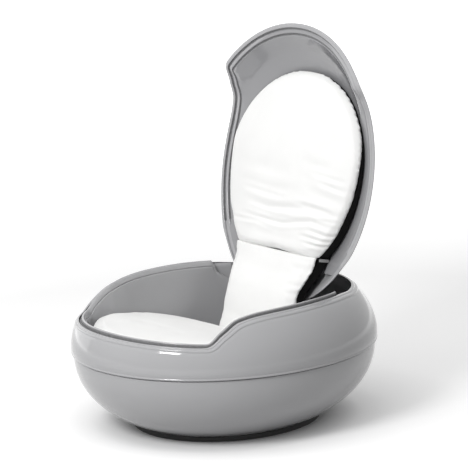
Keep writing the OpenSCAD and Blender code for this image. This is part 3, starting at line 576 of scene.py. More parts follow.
def seam_gasket():
    i, o, r = SEAM_INSET + FLANGE_W, SEAM_INSET + GASKET_INSET, GASKET_R
    high = [level(o + r * (1 - math.cos(a)), SEAM_TOP - r * (1 - math.sin(a))) for a in arc(3)]
    low = [level(o + r * (1 - math.cos(a)), SEAM_LOW + r * (1 - math.sin(a))) for a in reversed(arc(3))]
    return hoop("seam_gasket_ring", [level(i, SEAM_LOW)] + low + high + [level(i, SEAM_TOP)])


# Tub
LINER_T, LIP_INSET, GROOVE = 5.0, 13.5, 7.0
LIP_IN, DRAFT, FILLET, RECESS_Z = 24.5, 6.0, 20.0, 116.0
SEAT_Z, SEAT_CREST_Y, SEAT_REAR_Y, SEAT_DROP, PAN_RISE = 271.0, -235.0, 102.0, 79.0, 60.0
CUT_Y = np.array([0.44, 0.56, 0.69, 0.81]) * HALF_D
CUT_Z = RECESS_Z + (float(rim_z(LIP_END)) - RECESS_Z) * np.array([0.9, 0.74, 0.615, 0.572])
BEND_Y = 117.0
TUB_TURN = ease(RY, LIP_END - 5, LIP_END + 5)
CUT_EDGE = np.interp(RY, CUT_Y, CUT_Z)
SEAL_PLAY = 0.5
# inset and lift of the lip ahead of the hinge, and of the plain cut edge behind it
TUB_LIP = [(LIP_INSET - 1.2, -GROOVE), (LIP_INSET - 0.2, -GROOVE + 0.6), (LIP_INSET, -GROOVE + 2),
           (LIP_INSET, 0), (LIP_INSET + 0.3, 4), (LIP_INSET + 1.6, 6.7), (LIP_INSET + 3.6, 7.5),
           (LIP_INSET + 5.6, 6.9), (LIP_IN - 3.2, 4.2), (LIP_IN - 1.2, -1), (LIP_IN - 0.2, -6.5),
           (LIP_IN - 1.4, -8), (LIP_IN - 1.6, -8.8), (LIP_IN + 1.2, -9.4), (LIP_IN + 2.2, -10.4),
           (LIP_IN + 2.4, -13)]
TUB_BACK = LIP_IN - LINER_T
TUB_EDGE = [(TUB_BACK, -13), (TUB_BACK, -9), (TUB_BACK, -4), (TUB_BACK + 0.3, -1.2), (TUB_BACK + 1.2, 0),
            (LIP_IN - 1.2, 0), (LIP_IN - 0.3, -0.4), (LIP_IN, -1.3), (LIP_IN + 0.2, -3), (LIP_IN + 0.8, -6),
            (LIP_IN + 1.2, -8), (LIP_IN + 1.6, -10), (LIP_IN + 2, -11.5), (LIP_IN + 2.4, -13)]
# lifts of the three rows under the lip's outer side: along the rim, and at the cut edge
UNDER_LIP, UNDER_CUT = (-22, -GROOVE - LINER_T, -GROOVE), (-18, -14, -10)


def pan_z(y):
    """Height of the tub's floor at a depth."""
    return RECESS_Z + PAN_RISE * np.maximum(0, (BEND_Y - y) / (BEND_Y - SEAT_CREST_Y))


def tub_row(lip_pt, cut_h, cut_lift):
    """One row of the tub: a lip point ahead of the hinge, a cut edge behind it."""
    w = TUB_TURN[:, None]
    return lip_pt * (1 - w) + in_from(cut_h, CUT_EDGE + cut_lift) * w


def floor_row(inset, up):
    """One row of the tub near its floor, at an inset from the wall's foot."""
    p = in_from(LIP_IN + DRAFT + inset, 0)
    p[:, 2] = pan_z(p[:, 1]) + up
    return p


def tub_liner():
    w = LINER_T
    rings = [floor_row(FILLET, -w)]
    rings += [floor_row(FILLET - (FILLET + w) * math.sin(a), (FILLET + w) * (1 - math.cos(a)) - w)
              for a in arc(4)[1:]]
    under = [over(TUB_BACK, UNDER_LIP[0])] + [rim_ring(SHELL_T + SEAL_PLAY, lift) for lift in UNDER_LIP[1:]]
    rings += [tub_row(row, TUB_BACK, lift) for row, lift in zip(under, UNDER_CUT)]
    for (h, dz), (ch, cz) in zip(spline(TUB_LIP, 64), spline(TUB_EDGE, 64)):
        rings.append(tub_row(over(h, dz), ch, cz))
    top = rings[-1]
    foot = floor_row(0, FILLET)
    rings += [top * (1 - f) + foot * f for f in np.linspace(0, 1, 9)[1:-1]]
    rings += [floor_row(FILLET * (1 - math.cos(a)), FILLET * (1 - math.sin(a))) for a in arc(6)]
    return slab("tub_skin", rings)


def along_rim(name, rows, keep):
    """A strip of one cross-section, given as rings, along the kept columns of the rim."""
    return strip(name, [np.array([row[i] for row in rows]) for i in range(COLS) if keep(i)])


def rim_strip(name, rows):
    """A soft strip along the rim, ahead of the hinge."""
    return along_rim(name, rows, lambda i: RY[i] < LIP_END - 3)


def rim_seal_rows():
    """The bowl's seal: a foot in the groove and a thin wall up the lip's outer face."""
    lo, hi = LIP_INSET - 4.2, LIP_INSET - 0.15
    foot = [(lo, 0.9 - GROOVE), (hi, 0.9 - GROOVE)]
    wall = [(hi, 0), (hi + 0.15, 3.4), (hi + 0.7, 5.4), (hi + 0.2, 5.6), (hi - 0.5, 4), (hi - 0.7, 0)]
    inner = [(hi - 0.8, -3.4), (lo + 0.8, -3.4), (lo, -4.2)]
    return [over(h, dz) for h, dz in foot + wall + inner]


PANEL_Y, PANEL_LOW = (171.0, 227.0), 205.0
# inset and lift of the panel's upper part
PANEL_TOP = [(10.5, -14), (8.2, -5), (7.4, -3.4), (6.6, -4.2), (8.6, -14)]


def rear_panel(side):
    """A lining sheet inside the bowl's rear wall, behind the end of the tub's lip."""
    rows = [in_from(9.5, PANEL_LOW), in_from(11, PANEL_LOW)] + [over(h, lift) for h, lift in PANEL_TOP]
    name = "tub_rear_panel_" + ("left" if side > 0 else "right")
    return along_rim(name, rows, lambda i: PANEL_Y[0] < RY[i] < PANEL_Y[1] and side * RIM0[i, 0] > 0)


# Lid
LINER_IN = 22.0
LID_FLARE, BAND_END, SHELF_END = 3.0, 11.6, 15.6
# inset and lift of the liner's edge, from the outside: flat ridge, deep groove, inner surface
RIDGE = [(15.9, 8.6), (16.1, 8.2), (16.8, 7.95), (19, 7.85), (23, 7.85), (24.8, 8.1), (25.8, 9.0),
         (26.3, 11), (26.8, 13.4), (28, 14.4), (29.6, 14.4), (30.8, 13.2), (31.6, 12.2), (33, 12)]
# lift up to which the liner's faces keep the plain liner lacquer; above it they take the painted-shade copy
RIDGE_UNSHADED_LIFT = 9.3
# how far the flare has gone at a rise above the shell's rounded edge
FLARE_FADE = [(1, 0), (0.96, 2), (0.78, 4.5), (0.5, 7), (0.22, 9.5), (0.05, 12)]
INNER_UP, INNER_START, NEAR_TOP = 16.9, 0.14, 0.985
LINER_SIDE, LINER_CUT, LINER_END = 165.0, LIP_END + 8, 244.0
# lifts of the lid shell: the two edges of its shelf, its inner and its outer wall
SHELF_LIFT, SHELF_FRONT_LIFT, INNER_WALL_LIFT, OUTER_WALL_RISE = 8.8, 8.4, 11.5, 15.0
LINER_PLAY, LINER_FOOT_LIFT = 0.6, 11.4
# inner side, outer side and front of the slots for the hinge arms
SLOT = (69.5, 80.5, 247.0)
# places below, beside and past the lid, for what is cut from it
BELOW, BESIDE, PAST = 200.0, 500.0, 600.0
RIDGE_KEPT = 1 - ease(RY, LIP_END - 4, LIP_END + 16)


def face_inset(t, lift):
    """Inset of the dome of thickness t at a lift above the rim line."""
    p = rim_ring(t, lift)
    return ((p[:, :2] - RIM0[:, :2]) * INWARD).sum(1)


def lid_shell():
    up = LID_GAP + ROLL_H
    flare = LID_FLARE * (1 - BEHIND)
    shelf = np.clip(face_inset(SHELL_T, 9), BAND_END + 0.2, SHELF_END)
    rings = [lid_ring(f, SHELL_T, INNER_WALL_LIFT) for f in np.linspace(NEAR_TOP, 0.0, 27)]
    rings += [over(shelf, SHELF_LIFT), over(BAND_END + 0.1, SHELF_FRONT_LIFT)]
    rings += [over(BAND_END - INNER_R * (1 - math.cos(a)), LID_GAP + INNER_R * (1 - math.sin(a)))
              for a in arc(3)]
    rings += [rim_ring(ROLL_W * (1 - math.cos(a)) - flare, up - ROLL_H * math.sin(a))
              for a in reversed(arc(7)[1:])]
    rings += [rim_ring(-share * flare, up + rise) for share, rise in FLARE_FADE]
    rings += [lid_ring(f, 0, up + OUTER_WALL_RISE) for f in np.linspace(0, NEAR_TOP, 32)]
    ob = pillow("lid_outer_skin", (0, 0, CLOSED_H - SHELL_T), rings, (0, 0, CLOSED_H))
    inner, outer, front = SLOT
    cut_boxes(ob, [((inner, front, BELOW), (outer, BESIDE, BESIDE)),
                   ((-outer, front, BELOW), (-inner, BESIDE, BESIDE))])
    swing_mesh(ob)
    finish_shading(ob)
    return ob


def ridge_ring(h, lift):
    """One row of the liner's edge; behind the hinge the ridge runs out into a plain slope."""
    (h0, z0), (h1, z1) = RIDGE[0], RIDGE[-1]
    plain = z0 + (z1 - z0) * (h - h0) / (h1 - h0)
    return over(h, plain + (lift - plain) * RIDGE_KEPT)


def lid_liner():
    rings = [lid_ring(f, LINER_IN, INNER_UP) for f in np.linspace(NEAR_TOP, INNER_START, 26)]
    a, b, c = ridge_ring(*RIDGE[-1]), lid_ring(0, LINER_IN, INNER_UP), rings[-1]
    rings += [a * (1 - f) ** 2 + b * 2 * f * (1 - f) + c * f * f
              for f in (0.85, 0.7, 0.55, 0.4, 0.25, 0.12)]
    rings += [ridge_ring(h, lift) for h, lift in spline(RIDGE, 48)[::-1]]
    rings.append(rim_ring(SHELL_T + LINER_PLAY, LINER_FOOT_LIFT))
    rings += [lid_ring(f, LINER_IN - LINER_T, INNER_UP) for f in np.linspace(0.12, NEAR_TOP, 14)]
    top = CLOSED_H - LINER_IN
    ob = pillow("lid_liner_skin", (0, 0, top), rings, (0, 0, top + LINER_T))
    cut_boxes(ob, [((-LINER_SIDE, LINER_CUT, 0), (LINER_SIDE, PAST, PAST)),
                   ((-BESIDE, LINER_END, 0), (BESIDE, PAST, PAST))])
    swing_mesh(ob)
    finish_shading(ob)
    return ob


def lid_seal_rows():
    """The outer seal: a thin wall behind the shell's edge and a foot up to the ridge."""
    a, b = BAND_END + 0.2, RIDGE[0][0] - 0.3
    pts = [(a + 0.8, 3.6), (a + 0.8, 7.5), (b, 7.9), (b, 8.3), (a, 8.2), (a, 3.6)]
    return [over(h, lift) for h, lift in pts]


def lid_inner_shade_rows():
    """A dark channel along the ridge's inner side: painted shade in its groove."""
    pts = [(26.9, 9.4), (27.6, 12.9), (30.7, 12.9), (30.6, 13.4), (27.1, 13.6), (26.1, 9.4)]
    return [over(h, lift) for h, lift in pts]


def split_liner_shade(ob, mat):
    """The ridge of the liner, the low part of it in the closed lid, in the finish of the shell; the rest
    keeps the darker copy, painted shade.
    """
    ob.data.materials.append(mat)
    mid = np.empty(len(ob.data.polygons) * 3)
    ob.data.polygons.foreach_get("center", mid)
    closed = opened(mid.reshape(-1, 3) / MM, -OPEN_ANGLE)
    low = closed[:, 2] - rim_z(closed[:, 1]) < RIDGE_UNSHADED_LIFT
    ob.data.polygons.foreach_set("material_index", low.astype(int))
    ob.data.update()


dress(base_shell(), M_LACQUER, "bowl", ["base_shell"])
dress(upper_shell(), M_LACQUER, "bowl", ["upper_shell"])
dress(seam_gasket(), M_GASKET, "bowl", ["seam_gasket"])
dress(tub_liner(), M_LINER, "bowl", ["tub_liner"])
dress(rim_strip("rim_seal_strip", rim_seal_rows()), M_SEAL, "bowl", ["rim_seal"])
dress(lid_shell(), M_LACQUER, "lid", ["lid_shell"])
# the lid's liner in the darker copy of the liner lacquer, painted shade, save for its ridge
_liner = dress(lid_liner(), M_LINER_PAINTED_SHADE, "lid", ["lid_liner"])
split_liner_shade(_liner, M_LINER)
# the lid's seal, and a dark strip in the same grey that paints shade in the ridge's inner groove
for _name, _rows, _nodes in (("lid_seal_strip", lid_seal_rows(), ["lid_seal"]),
                             ("lid_inner_groove_shade_strip", lid_inner_shade_rows(), [])):
    _seal_and_shade_strip = rim_strip(_name, _rows)
    swing_mesh(_seal_and_shade_strip)
    dress(_seal_and_shade_strip, M_LIDSEAL_AND_SHADE, "lid", _nodes)
for _side in (1, -1):
    dress(rear_panel(_side), M_LINER, "bowl")

# Soft pieces
BACK_W, BACK_MID, BACK_FRONT, BACK_REAR, FOLD_Y = 268.0, -46.0, 237.0, 333.0, 211.0
BACK_EDGE_Z, SIDE_T, PAD_PLAY = 349.0, 16.0, 3.3
CORE_SHARE, END_SHARE = 0.965, 0.3
EDGE_BACK, BACK_INSET, FULL_CROWN, COVER_SIDE = 3.5, 2.0, 16.0, 7.0
FOLD_PLAY, FRONT_LIFT, REAR_SINK = 0.5, 17.0, 19.5
# how far a point of a cover may be puffed out, in metres
BACK_CAP, SEAT_CAP, PAD_CAP = 0.008, 0.009, 0.006
# size of a ring and the share of the crown that it has reached
BACK_CROWN_SHARES = [(0.12, 1.0), (0.25, 0.985), (0.4, 0.94), (0.55, 0.87), (0.68, 0.77), (0.8, 0.62),
                     (0.89, 0.43), (0.95, 0.25), (0.985, 0.1)]
BACK_FLAT_SHARES = (0.985, 0.95, 0.8, 0.6, 0.4, 0.2)


def edge_line(y):
    """Height of the back cushion's edge in the closed lid."""
    y = np.asarray(y, float)
    front = FRONT_LIFT * np.maximum(0, (BACK_MID - y) / BACK_FRONT) ** 1.5
    rear = REAR_SINK * np.maximum(0, (y - BACK_MID) / (FOLD_Y - BACK_MID)) ** 2.2
    return BACK_EDGE_Z + front - rear


def fold_end(share, inset):
    """Where the straight end of a ring lies: it draws in less than the round side does."""
    return FOLD_Y - inset - END_SHARE * (FOLD_Y - BACK_MID) * (1 - share)


def egg_ring(n, share, end_y, inset=0.0):
    """The cushion's egg outline, cut straight at the fold."""
    q = np.arange(n) * 2 * math.pi / n
    ly = np.where(np.sin(q) > 0, BACK_REAR, BACK_FRONT)
    x = (BACK_W - inset) * np.cos(q) * share
    y = np.minimum(end_y, BACK_MID + (ly - inset) * np.sin(q) * share)
    return x, y


def back_rings(n):
    """Closed-frame rings of the back cushion, from the crown's middle out to its flat back."""
    rings = []
    for share, c in BACK_CROWN_SHARES:
        x, y = egg_ring(n, share, fold_end(share, FOLD_PLAY), BACK_INSET)
        z = edge_line(y) + EDGE_BACK - COVER_SIDE * min(1, 4 * c) - FULL_CROWN * c
        rings.append(np.stack([x, y, z], 1))
    x, y = egg_ring(n, 1.0, fold_end(1, FOLD_PLAY), BACK_INSET)
    rings.append(np.stack([x, y, edge_line(y) + EDGE_BACK], 1))
    for share in BACK_FLAT_SHARES:
        x, y = egg_ring(n, share, BACK_MID + (FOLD_Y - BACK_MID - FOLD_PLAY) * share, BACK_INSET)
        z = np.minimum(edge_line(y) + COVER_SIDE, dome_z_at(x, y, LINER_IN + PAD_PLAY))
        rings.append(np.stack([x, y, z], 1))
    return rings


def even_out(ob, d, rounds):
    """Averages the moves of neighbouring points, so that an edge keeps its line."""
    e = np.empty(len(ob.data.edges) * 2, int)
    ob.data.edges.foreach_get("vertices", e)
    a, b = e[0::2], e[1::2]
    n = len(d)
    count = np.maximum(1, np.bincount(a, minlength=n) + np.bincount(b, minlength=n))
    for _ in range(rounds):
        total = np.stack([np.bincount(a, d[b, k], n) + np.bincount(b, d[a, k], n) for k in range(3)], 1)
        d = 0.5 * d + 0.5 * total / count[:, None]
    return d


def cloth_shape(ob, frames=20):
    """Where cloth under pressure takes the points of a closed cover."""
    mod = ob.modifiers.new("cloth", "CLOTH")
    st = mod.settings
    st.quality = 5
    st.mass = 0.3
    st.tension_stiffness = 15.0
    st.compression_stiffness = 15.0
    st.shear_stiffness = 5
    st.bending_stiffness = 0.5
    st.use_pressure = True
    st.uniform_pressure_force = 4.0
    st.effector_weights.gravity = 0
    mod.collision_settings.use_collision = False
    mod.point_cache.frame_start = 1
    mod.point_cache.frame_end = frames
    for f in range(1, frames + 1):
        scene.frame_set(f)
    shape = coords(ob.evaluated_get(bpy.context.evaluated_depsgraph_get()))
    ob.modifiers.clear()
    scene.frame_set(1)
    return shape


def puff(ob, cap, thick, voxel=0.005):
    """Fills a cover with cloth pressure; no point moves further than the cap, and little along it."""
    calm_rounds, along = 24, 0.15
    rm = ob.modifiers.new("remesh", "REMESH")
    rm.mode = "VOXEL"
    rm.voxel_size = voxel
    rm.use_smooth_shade = True
    apply_modifiers(ob)
    rest = coords(ob)
    d = even_out(ob, cloth_shape(ob) - rest, calm_rounds)
    across = (d @ thick)[:, None] * thick
    d = across + (d - across) * along
    far = np.linalg.norm(d, axis=1)
    d *= np.minimum(1, cap / np.maximum(far, 1e-9))[:, None]
    set_coords(ob, rest + d)
    sub = ob.modifiers.new("sub", "SUBSURF")
    sub.levels = sub.render_levels = 1
    apply_modifiers(ob)
    finish_shading(ob, 60)


def crease(p, line, depth, width):
    """Relief of one fold along a polyline, over 2-D points: a valley with a soft ridge on each side."""
    ridge, ridge_place, end_play = 0.45, 2.1, 0.02
    line = np.array(line, float)
    seg = np.diff(line, axis=0)
    lengths = np.linalg.norm(seg, axis=1)
    total = lengths.sum()
    best = np.full(len(p), np.inf)
    at = np.zeros(len(p))
    run = 0.0
    for a, step, length in zip(line[:-1], seg, lengths):
        t = np.clip(((p - a) @ step) / (length * length), 0, 1)
        d = np.linalg.norm(p - a - t[:, None] * step, axis=1)
        near = d < best
        best = np.where(near, d, best)
        at = np.where(near, (run + t * length) / total, at)
        run += length
    taper = np.sin(np.pi * np.clip(at, end_play, 1 - end_play)) ** 0.7
    u = best / width
    return depth * taper * (-np.exp(-u * u) + ridge * np.exp(-(u - ridge_place) ** 2))


def dent(ob, creases, plane, facing):
    """Presses folds into the side of a piece that faces a direction."""
    co, no = coords(ob), normals(ob)
    p = co[:, list(plane)]
    press = np.zeros(len(co))
    for line, depth, width in creases:
        press += crease(p, line, depth, width)
    press *= np.clip((no @ np.array(facing)) * 1.6, 0, 1)
    set_coords(ob, co + no * press[:, None])


FRONT_FACE, TOP_FACE = ((0, 2), (0, -1, 0)), ((0, 1), (0, 0, 1))
# folds in metres, each with its depth and width: over x and z on the back, over x and y on the seat
BACK_FOLDS = [
    ([(-0.15, 0.506), (0.022, 0.503), (0.132, 0.521), (0.232, 0.514)], 0.0042, 0.006),
    ([(-0.15, 0.545), (-0.05, 0.536), (0.097, 0.55), (0.242, 0.543)], 0.0034, 0.008),
    ([(0.055, 0.675), (0.185, 0.656)], 0.0018, 0.012),
    ([(-0.19, 0.594), (-0.05, 0.585), (0.08, 0.592)], 0.0018, 0.012),
    ([(0.13, 0.499), (0.232, 0.486)], 0.003, 0.0045),
    ([(0.1, 0.482), (0.215, 0.474)], 0.0028, 0.0045),
    ([(0.12, 0.467), (0.212, 0.458)], 0.0026, 0.0045),
    ([(0.1, 0.6), (0.245, 0.576)], 0.002, 0.01),
    ([(0.15, 0.53), (0.236, 0.527)], 0.0022, 0.005),
    ([(-0.14, 0.47), (0.02, 0.466), (0.1, 0.47)], 0.0014, 0.01),
    ([(-0.2, 0.64), (0.02, 0.632)], 0.001, 0.014),
    ([(-0.2, 0.49), (-0.09, 0.494), (-0.02, 0.488)], 0.0022, 0.0045),
    ([(-0.13, 0.523), (0.0, 0.516), (0.08, 0.52)], 0.002, 0.005),
    ([(0.05, 0.563), (0.2, 0.553)], 0.0022, 0.0055),
    ([(0.14, 0.622), (0.25, 0.608)], 0.0018, 0.006),
    ([(0.1, 0.645), (0.24, 0.632)], 0.0014, 0.006),
    ([(-0.17, 0.576), (0.02, 0.566)], 0.0018, 0.006),
]


def back_cushion():
    front = (0, BACK_MID, BACK_EDGE_Z + EDGE_BACK - COVER_SIDE - 1 - FULL_CROWN)
    ob = pillow("back_cushion_cover", front, back_rings(144), (0, BACK_MID, BACK_EDGE_Z + COVER_SIDE))
    swing_mesh(ob)
    puff(ob, BACK_CAP, np.array([0, math.sin(OPEN_ANGLE), math.cos(OPEN_ANGLE)]))
    dent(ob, BACK_FOLDS, *FRONT_FACE)
    return ob


SEAT_FOLDS = [
    ([(-0.2, -0.22), (-0.05, -0.2), (0.12, -0.21)], 0.0012, 0.014),
    ([(-0.16, -0.02), (0.0, -0.03), (0.17, -0.01)], 0.0018, 0.012),
    ([(-0.2, 0.05), (-0.06, 0.045)], 0.0018, 0.008),
    ([(0.05, 0.05), (0.2, 0.055)], 0.0018, 0.008),
    ([(-0.24, -0.1), (-0.1, -0.11)], 0.001, 0.012),
    ([(0.08, -0.12), (0.23, -0.1)], 0.001, 0.012),
]
SEAT_MID_Y, SEAT_PLAY, SEAT_INSET, SEAT_REACH, SEAT_CROWN = -60.0, 4.0, 2.0, 280.0, 6.0
# size of a ring, its height as a share of the cushion's, and the share of the crown that it has reached
SEAT_SHARES = [(0.5, 0, 0), (0.8, 0, 0), (0.93, 0, 0), (0.975, 0.06, 0), (0.995, 0.2, 0), (1, 0.45, 0),
               (0.998, 0.72, 0), (0.99, 0.9, 0), (0.97, 0.985, 0.02), (0.93, 1, 0.2), (0.84, 1, 0.5),
               (0.7, 1, 0.74), (0.5, 1, 0.88), (0.3, 1, 0.97), (0.12, 1, 1)]


def seat_cushion():
    play = LIP_IN + DRAFT + SEAT_PLAY
    middle = [i for i in range(COLS) if RY[i] <= 0][0]
    half = abs(RIM0[middle, 0]) - play
    ux, uy = power(np.cos(QS), 2 / 3.0), power(np.sin(QS), 2 / 3.0)
    rear = np.stack([half * ux, SEAT_REAR_Y * uy], 1)
    base = np.where((RY <= 0)[:, None], in_from(play, 0)[:, :2], rear)

    def ring(share, up, crown):
        x = base[:, 0] * share
        y = SEAT_MID_Y + (base[:, 1] - SEAT_MID_Y) * share
        drawn = 1 - SEAT_INSET / SEAT_REACH
        x, y = x * drawn, SEAT_MID_Y + (y - SEAT_MID_Y) * drawn
        back_share = np.maximum(0, (y - SEAT_CREST_Y) / (SEAT_REAR_Y - SEAT_CREST_Y))
        top = SEAT_Z - SEAT_DROP * back_share ** 1.5
        low = pan_z(y) + 1.0
        return np.stack([x, y, low + (top - low) * up + crown], 1)

    ob = slab("seat_cushion_cover", [ring(share, up, c * SEAT_CROWN) for share, up, c in SEAT_SHARES])
    puff(ob, SEAT_CAP, np.array([0.0, 0.0, 1.0]))
    dent(ob, SEAT_FOLDS, *TOP_FACE)
    return ob


# depth and height of the fold in the open lid, and half its width
FOLD_OPEN = opened([[0, FOLD_Y, float(edge_line(FOLD_Y))]])[0, 1:]
FOLD_HALF = BACK_W * math.sqrt(1 - ((FOLD_Y - BACK_MID) / BACK_REAR) ** 2)
# the lower pad by height: its place from seat to fold, its width and its crown
PAD_UP_SHARES = [0, 0.26, 0.42, 0.58, 0.71, 0.81, 0.91, 1]
PAD_BACK_SHARES = [0, 0, 0.1, 0.18, 0.31, 0.58, 0.87, 1]
PAD_WIDTH_SHARES = [0.96, 0.98, 0.92, 0.87, 0.86, 0.92, 0.965, 1]
PAD_CROWN_SHARES = [0.04, 0.04, 0.7, 1, 1, 1, 0.9, 0.6]
PAD_TUCK, PAD_SIDE, PAD_FULL, PAD_CROWN_CUT = 8.0, 1.5, 14.0, 3.0
PAD_FRONT = SEAT_REAR_Y + 1.2
PAD_LOW, PAD_HIGH = float(pan_z(PAD_FRONT)) + 0.4, FOLD_OPEN[1] - 1.3
PAD_ROWS, PAD_ACROSS = 40, 41
PAD_FOLDS = [
    ([(-0.12, 0.385), (0.0, 0.378), (0.13, 0.386)], 0.0014, 0.012),
    ([(0.1, 0.36), (0.165, 0.355)], 0.0016, 0.006),
    ([(0.11, 0.34), (0.16, 0.334)], 0.0014, 0.006),
    ([(-0.14, 0.33), (-0.02, 0.322)], 0.001, 0.012),
    ([(-0.15, 0.25), (0.0, 0.243), (0.15, 0.25)], 0.0014, 0.014),
    ([(0.09, 0.4), (0.165, 0.396)], 0.0014, 0.006),
]


def pad_at(table, u):
    """A table of shares read smoothly at a share of the height."""
    k, v = np.array(PAD_UP_SHARES), np.array(table, float)
    return curve_at(k, v, np.gradient(v, k), u)


def pad_facts(u):
    """Half width, place, height and crown of the lower pad at a share of its height."""
    y = PAD_FRONT + (FOLD_OPEN[0] - PAD_FRONT) * max(0, pad_at(PAD_BACK_SHARES, u))
    z = PAD_LOW + (PAD_HIGH - PAD_LOW) * u
    return FOLD_HALF * pad_at(PAD_WIDTH_SHARES, u), y, z, PAD_FULL * max(0.04, pad_at(PAD_CROWN_SHARES, u))


def lower_back_pad():
    rows = []
    for u in np.linspace(0, 1, PAD_ROWS):
        w, y, z, c = pad_facts(u)
        w -= PAD_SIDE
        c = max(0.5, c - PAD_CROWN_CUT)
        z += PAD_TUCK * u ** 6
        f = np.linspace(-1, 1, PAD_ACROSS)
        front = np.stack([w * f, y + 2 - c * (1 - np.abs(f) ** 3) ** 0.6, np.full(PAD_ACROSS, z)], 1)
        rows.append(np.concatenate([front, [[w, y + SIDE_T / 2, z], [-w, y + SIDE_T / 2, z]]]))
    ob = strip("lower_back_cover", rows)
    puff(ob, PAD_CAP, np.array([0.0, 1.0, 0.0]), voxel=0.004)
    dent(ob, PAD_FOLDS, *FRONT_FACE)
    return ob


# size and place of the cord that paints the crease's shade across the fold
SHADE_CORD_R, SHADE_CORD_BACK, SHADE_CORD_OUT, SHADE_CORD_UP = 1.6, 3.0, 5.5, 2.0
SHADE_CORD_END, SHADE_CORD_ROWS, SHADE_CORD_SIDES = 5.0, 60, 10


def fold_shade_cord():
    """A thin tan cord that shows as a line across the fold: painted shade of the crease."""
    turns = np.arange(SHADE_CORD_SIDES) * 2 * math.pi / SHADE_CORD_SIDES
    rows = []
    for x in np.linspace(-1, 1, SHADE_CORD_ROWS) * (FOLD_HALF - SHADE_CORD_END):
        y = FOLD_OPEN[0] - SHADE_CORD_OUT + SHADE_CORD_BACK * abs(x / FOLD_HALF) ** 3
        z = FOLD_OPEN[1] + SHADE_CORD_UP
        rows.append(np.array([[x, y + SHADE_CORD_R * math.sin(a), z + SHADE_CORD_R * math.cos(a)] for a in turns]))
    return strip("fold_shade_cord", rows)


CORE_DEPTH, CORE_BEVEL, CORE_PLAY, CORE_END, CORE_LEAST = 41.0, 4.0, 1.2, 3.0, 1.5
BACKING_PLAY, DROP_GAIN, SIDE_DROP_SHARE = 0.4, 1.6, 0.9
# the hinge arm's heel, as its distance and angle from the hinge, and the notch that clears it
HEEL_R, HEEL_ANGLE = 24.0, math.radians(-152.5)
NOTCH_X, NOTCH_Y, NOTCH_LOW, NOTCH_HIGH = (69, 90), (195, 240), -16, 16


def lower_back_backing():
    rows = []
    for u in np.linspace(0, 1, PAD_ROWS):
        w, y, z, _ = pad_facts(u)
        w *= CORE_SHARE
        y0, y1 = y + SIDE_T / 2 + BACKING_PLAY, y + CORE_DEPTH
        drop = DROP_GAIN * (y1 - y0) * math.tan(OPEN_ANGLE - math.pi / 2) * u ** 4
        half = [(w, y0, z), (w, y1 - CORE_BEVEL, z - drop * SIDE_DROP_SHARE), (w - CORE_BEVEL, y1, z - drop)]
        other = [(-px, py, pz) for px, py, pz in half]
        rows.append(np.array([other[0], *half, *reversed(other[1:])]))
    ob = strip("lower_back_black", rows)
    heel = HINGE[1] + HEEL_R * math.sin(HEEL_ANGLE)
    z0, z1 = heel + NOTCH_LOW, heel + NOTCH_HIGH
    (x0, x1), (y0, y1) = NOTCH_X, NOTCH_Y
    cut_boxes(ob, [((x0, y0, z0), (x1, y1, z1)), ((-x1, y0, z0), (-x0, y1, z1))])
    finish_shading(ob)
    return ob


# the hollow of the core over the hinge beam, by its corners
CORE_HOLLOW = ((-88, 101, 362), (88, 330, 500))


def back_core():
    def ring(share, up):
        x, y = egg_ring(96, share * CORE_SHARE, BACK_MID + (FOLD_Y - BACK_MID) * share - CORE_END)
        lo = edge_line(y) + SIDE_T / 2 + CORE_PLAY
        hi = dome_z_at(x, y, LINER_IN + PAD_PLAY)
        return np.stack([x, y, np.maximum(lo, hi) if up else np.minimum(lo, hi - CORE_LEAST)], 1)

    rings = [ring(share, False) for share in (0.5, 0.8, 1)]
    rings += [ring(share, True) for share in (1, 0.96, 0.85, 0.7, 0.55, 0.4, 0.25, 0.1)]
    low = BACK_EDGE_Z + SIDE_T / 2 + CORE_PLAY
    high = float(dome_z_at(0, BACK_MID, LINER_IN + PAD_PLAY))
    ob = pillow("back_core_black", (0, BACK_MID, low), rings, (0, BACK_MID, high))
    cut_boxes(ob, [CORE_HOLLOW])
    swing_mesh(ob)
    finish_shading(ob)
    return ob


TAB_T, TAB_W, TAB_R, TAB_BOW, TAB_BACK = 1.5, 8.0, 0.4, 0.5, 4.0
TAB_PLAY, TAB_END, TAB_LINER_PLAY = 0.4, 0.6, 0.3


def fold_tab(side):
    """A short webbing strap across the black band at the fold."""
    y0 = FOLD_Y - TAB_BACK
    depth_share = (y0 - TAB_W - BACK_MID) / BACK_REAR / CORE_SHARE
    x0 = BACK_W * CORE_SHARE * math.sqrt(1 - depth_share ** 2) + TAB_PLAY
    z0 = float(edge_line(y0)) + SIDE_T / 2 + TAB_END
    z1 = float(dome_z_at(x0 + TAB_T, y0 + TAB_W, LINER_IN + TAB_LINER_PLAY)) - TAB_END
    t, w, r = TAB_T, TAB_W, TAB_R
    section = [(0, r), (r, 0), (t - r, 0), (t, r), (t, w - r), (t - r, w), (r, w), (0, w - r)]
    rows = []
    for f in np.linspace(0, 1, 12):
        bow = TAB_BOW * math.sin(math.pi * f)
        pts = np.array([[side * (x0 + bow + a), y0 + b, z0 + (z1 - z0) * f] for a, b in section])
        rows.append(pts if side > 0 else pts[::-1])
    ob = strip("fold_tab_" + ("left" if side > 0 else "right"), rows)
    swing_mesh(ob)
    return ob


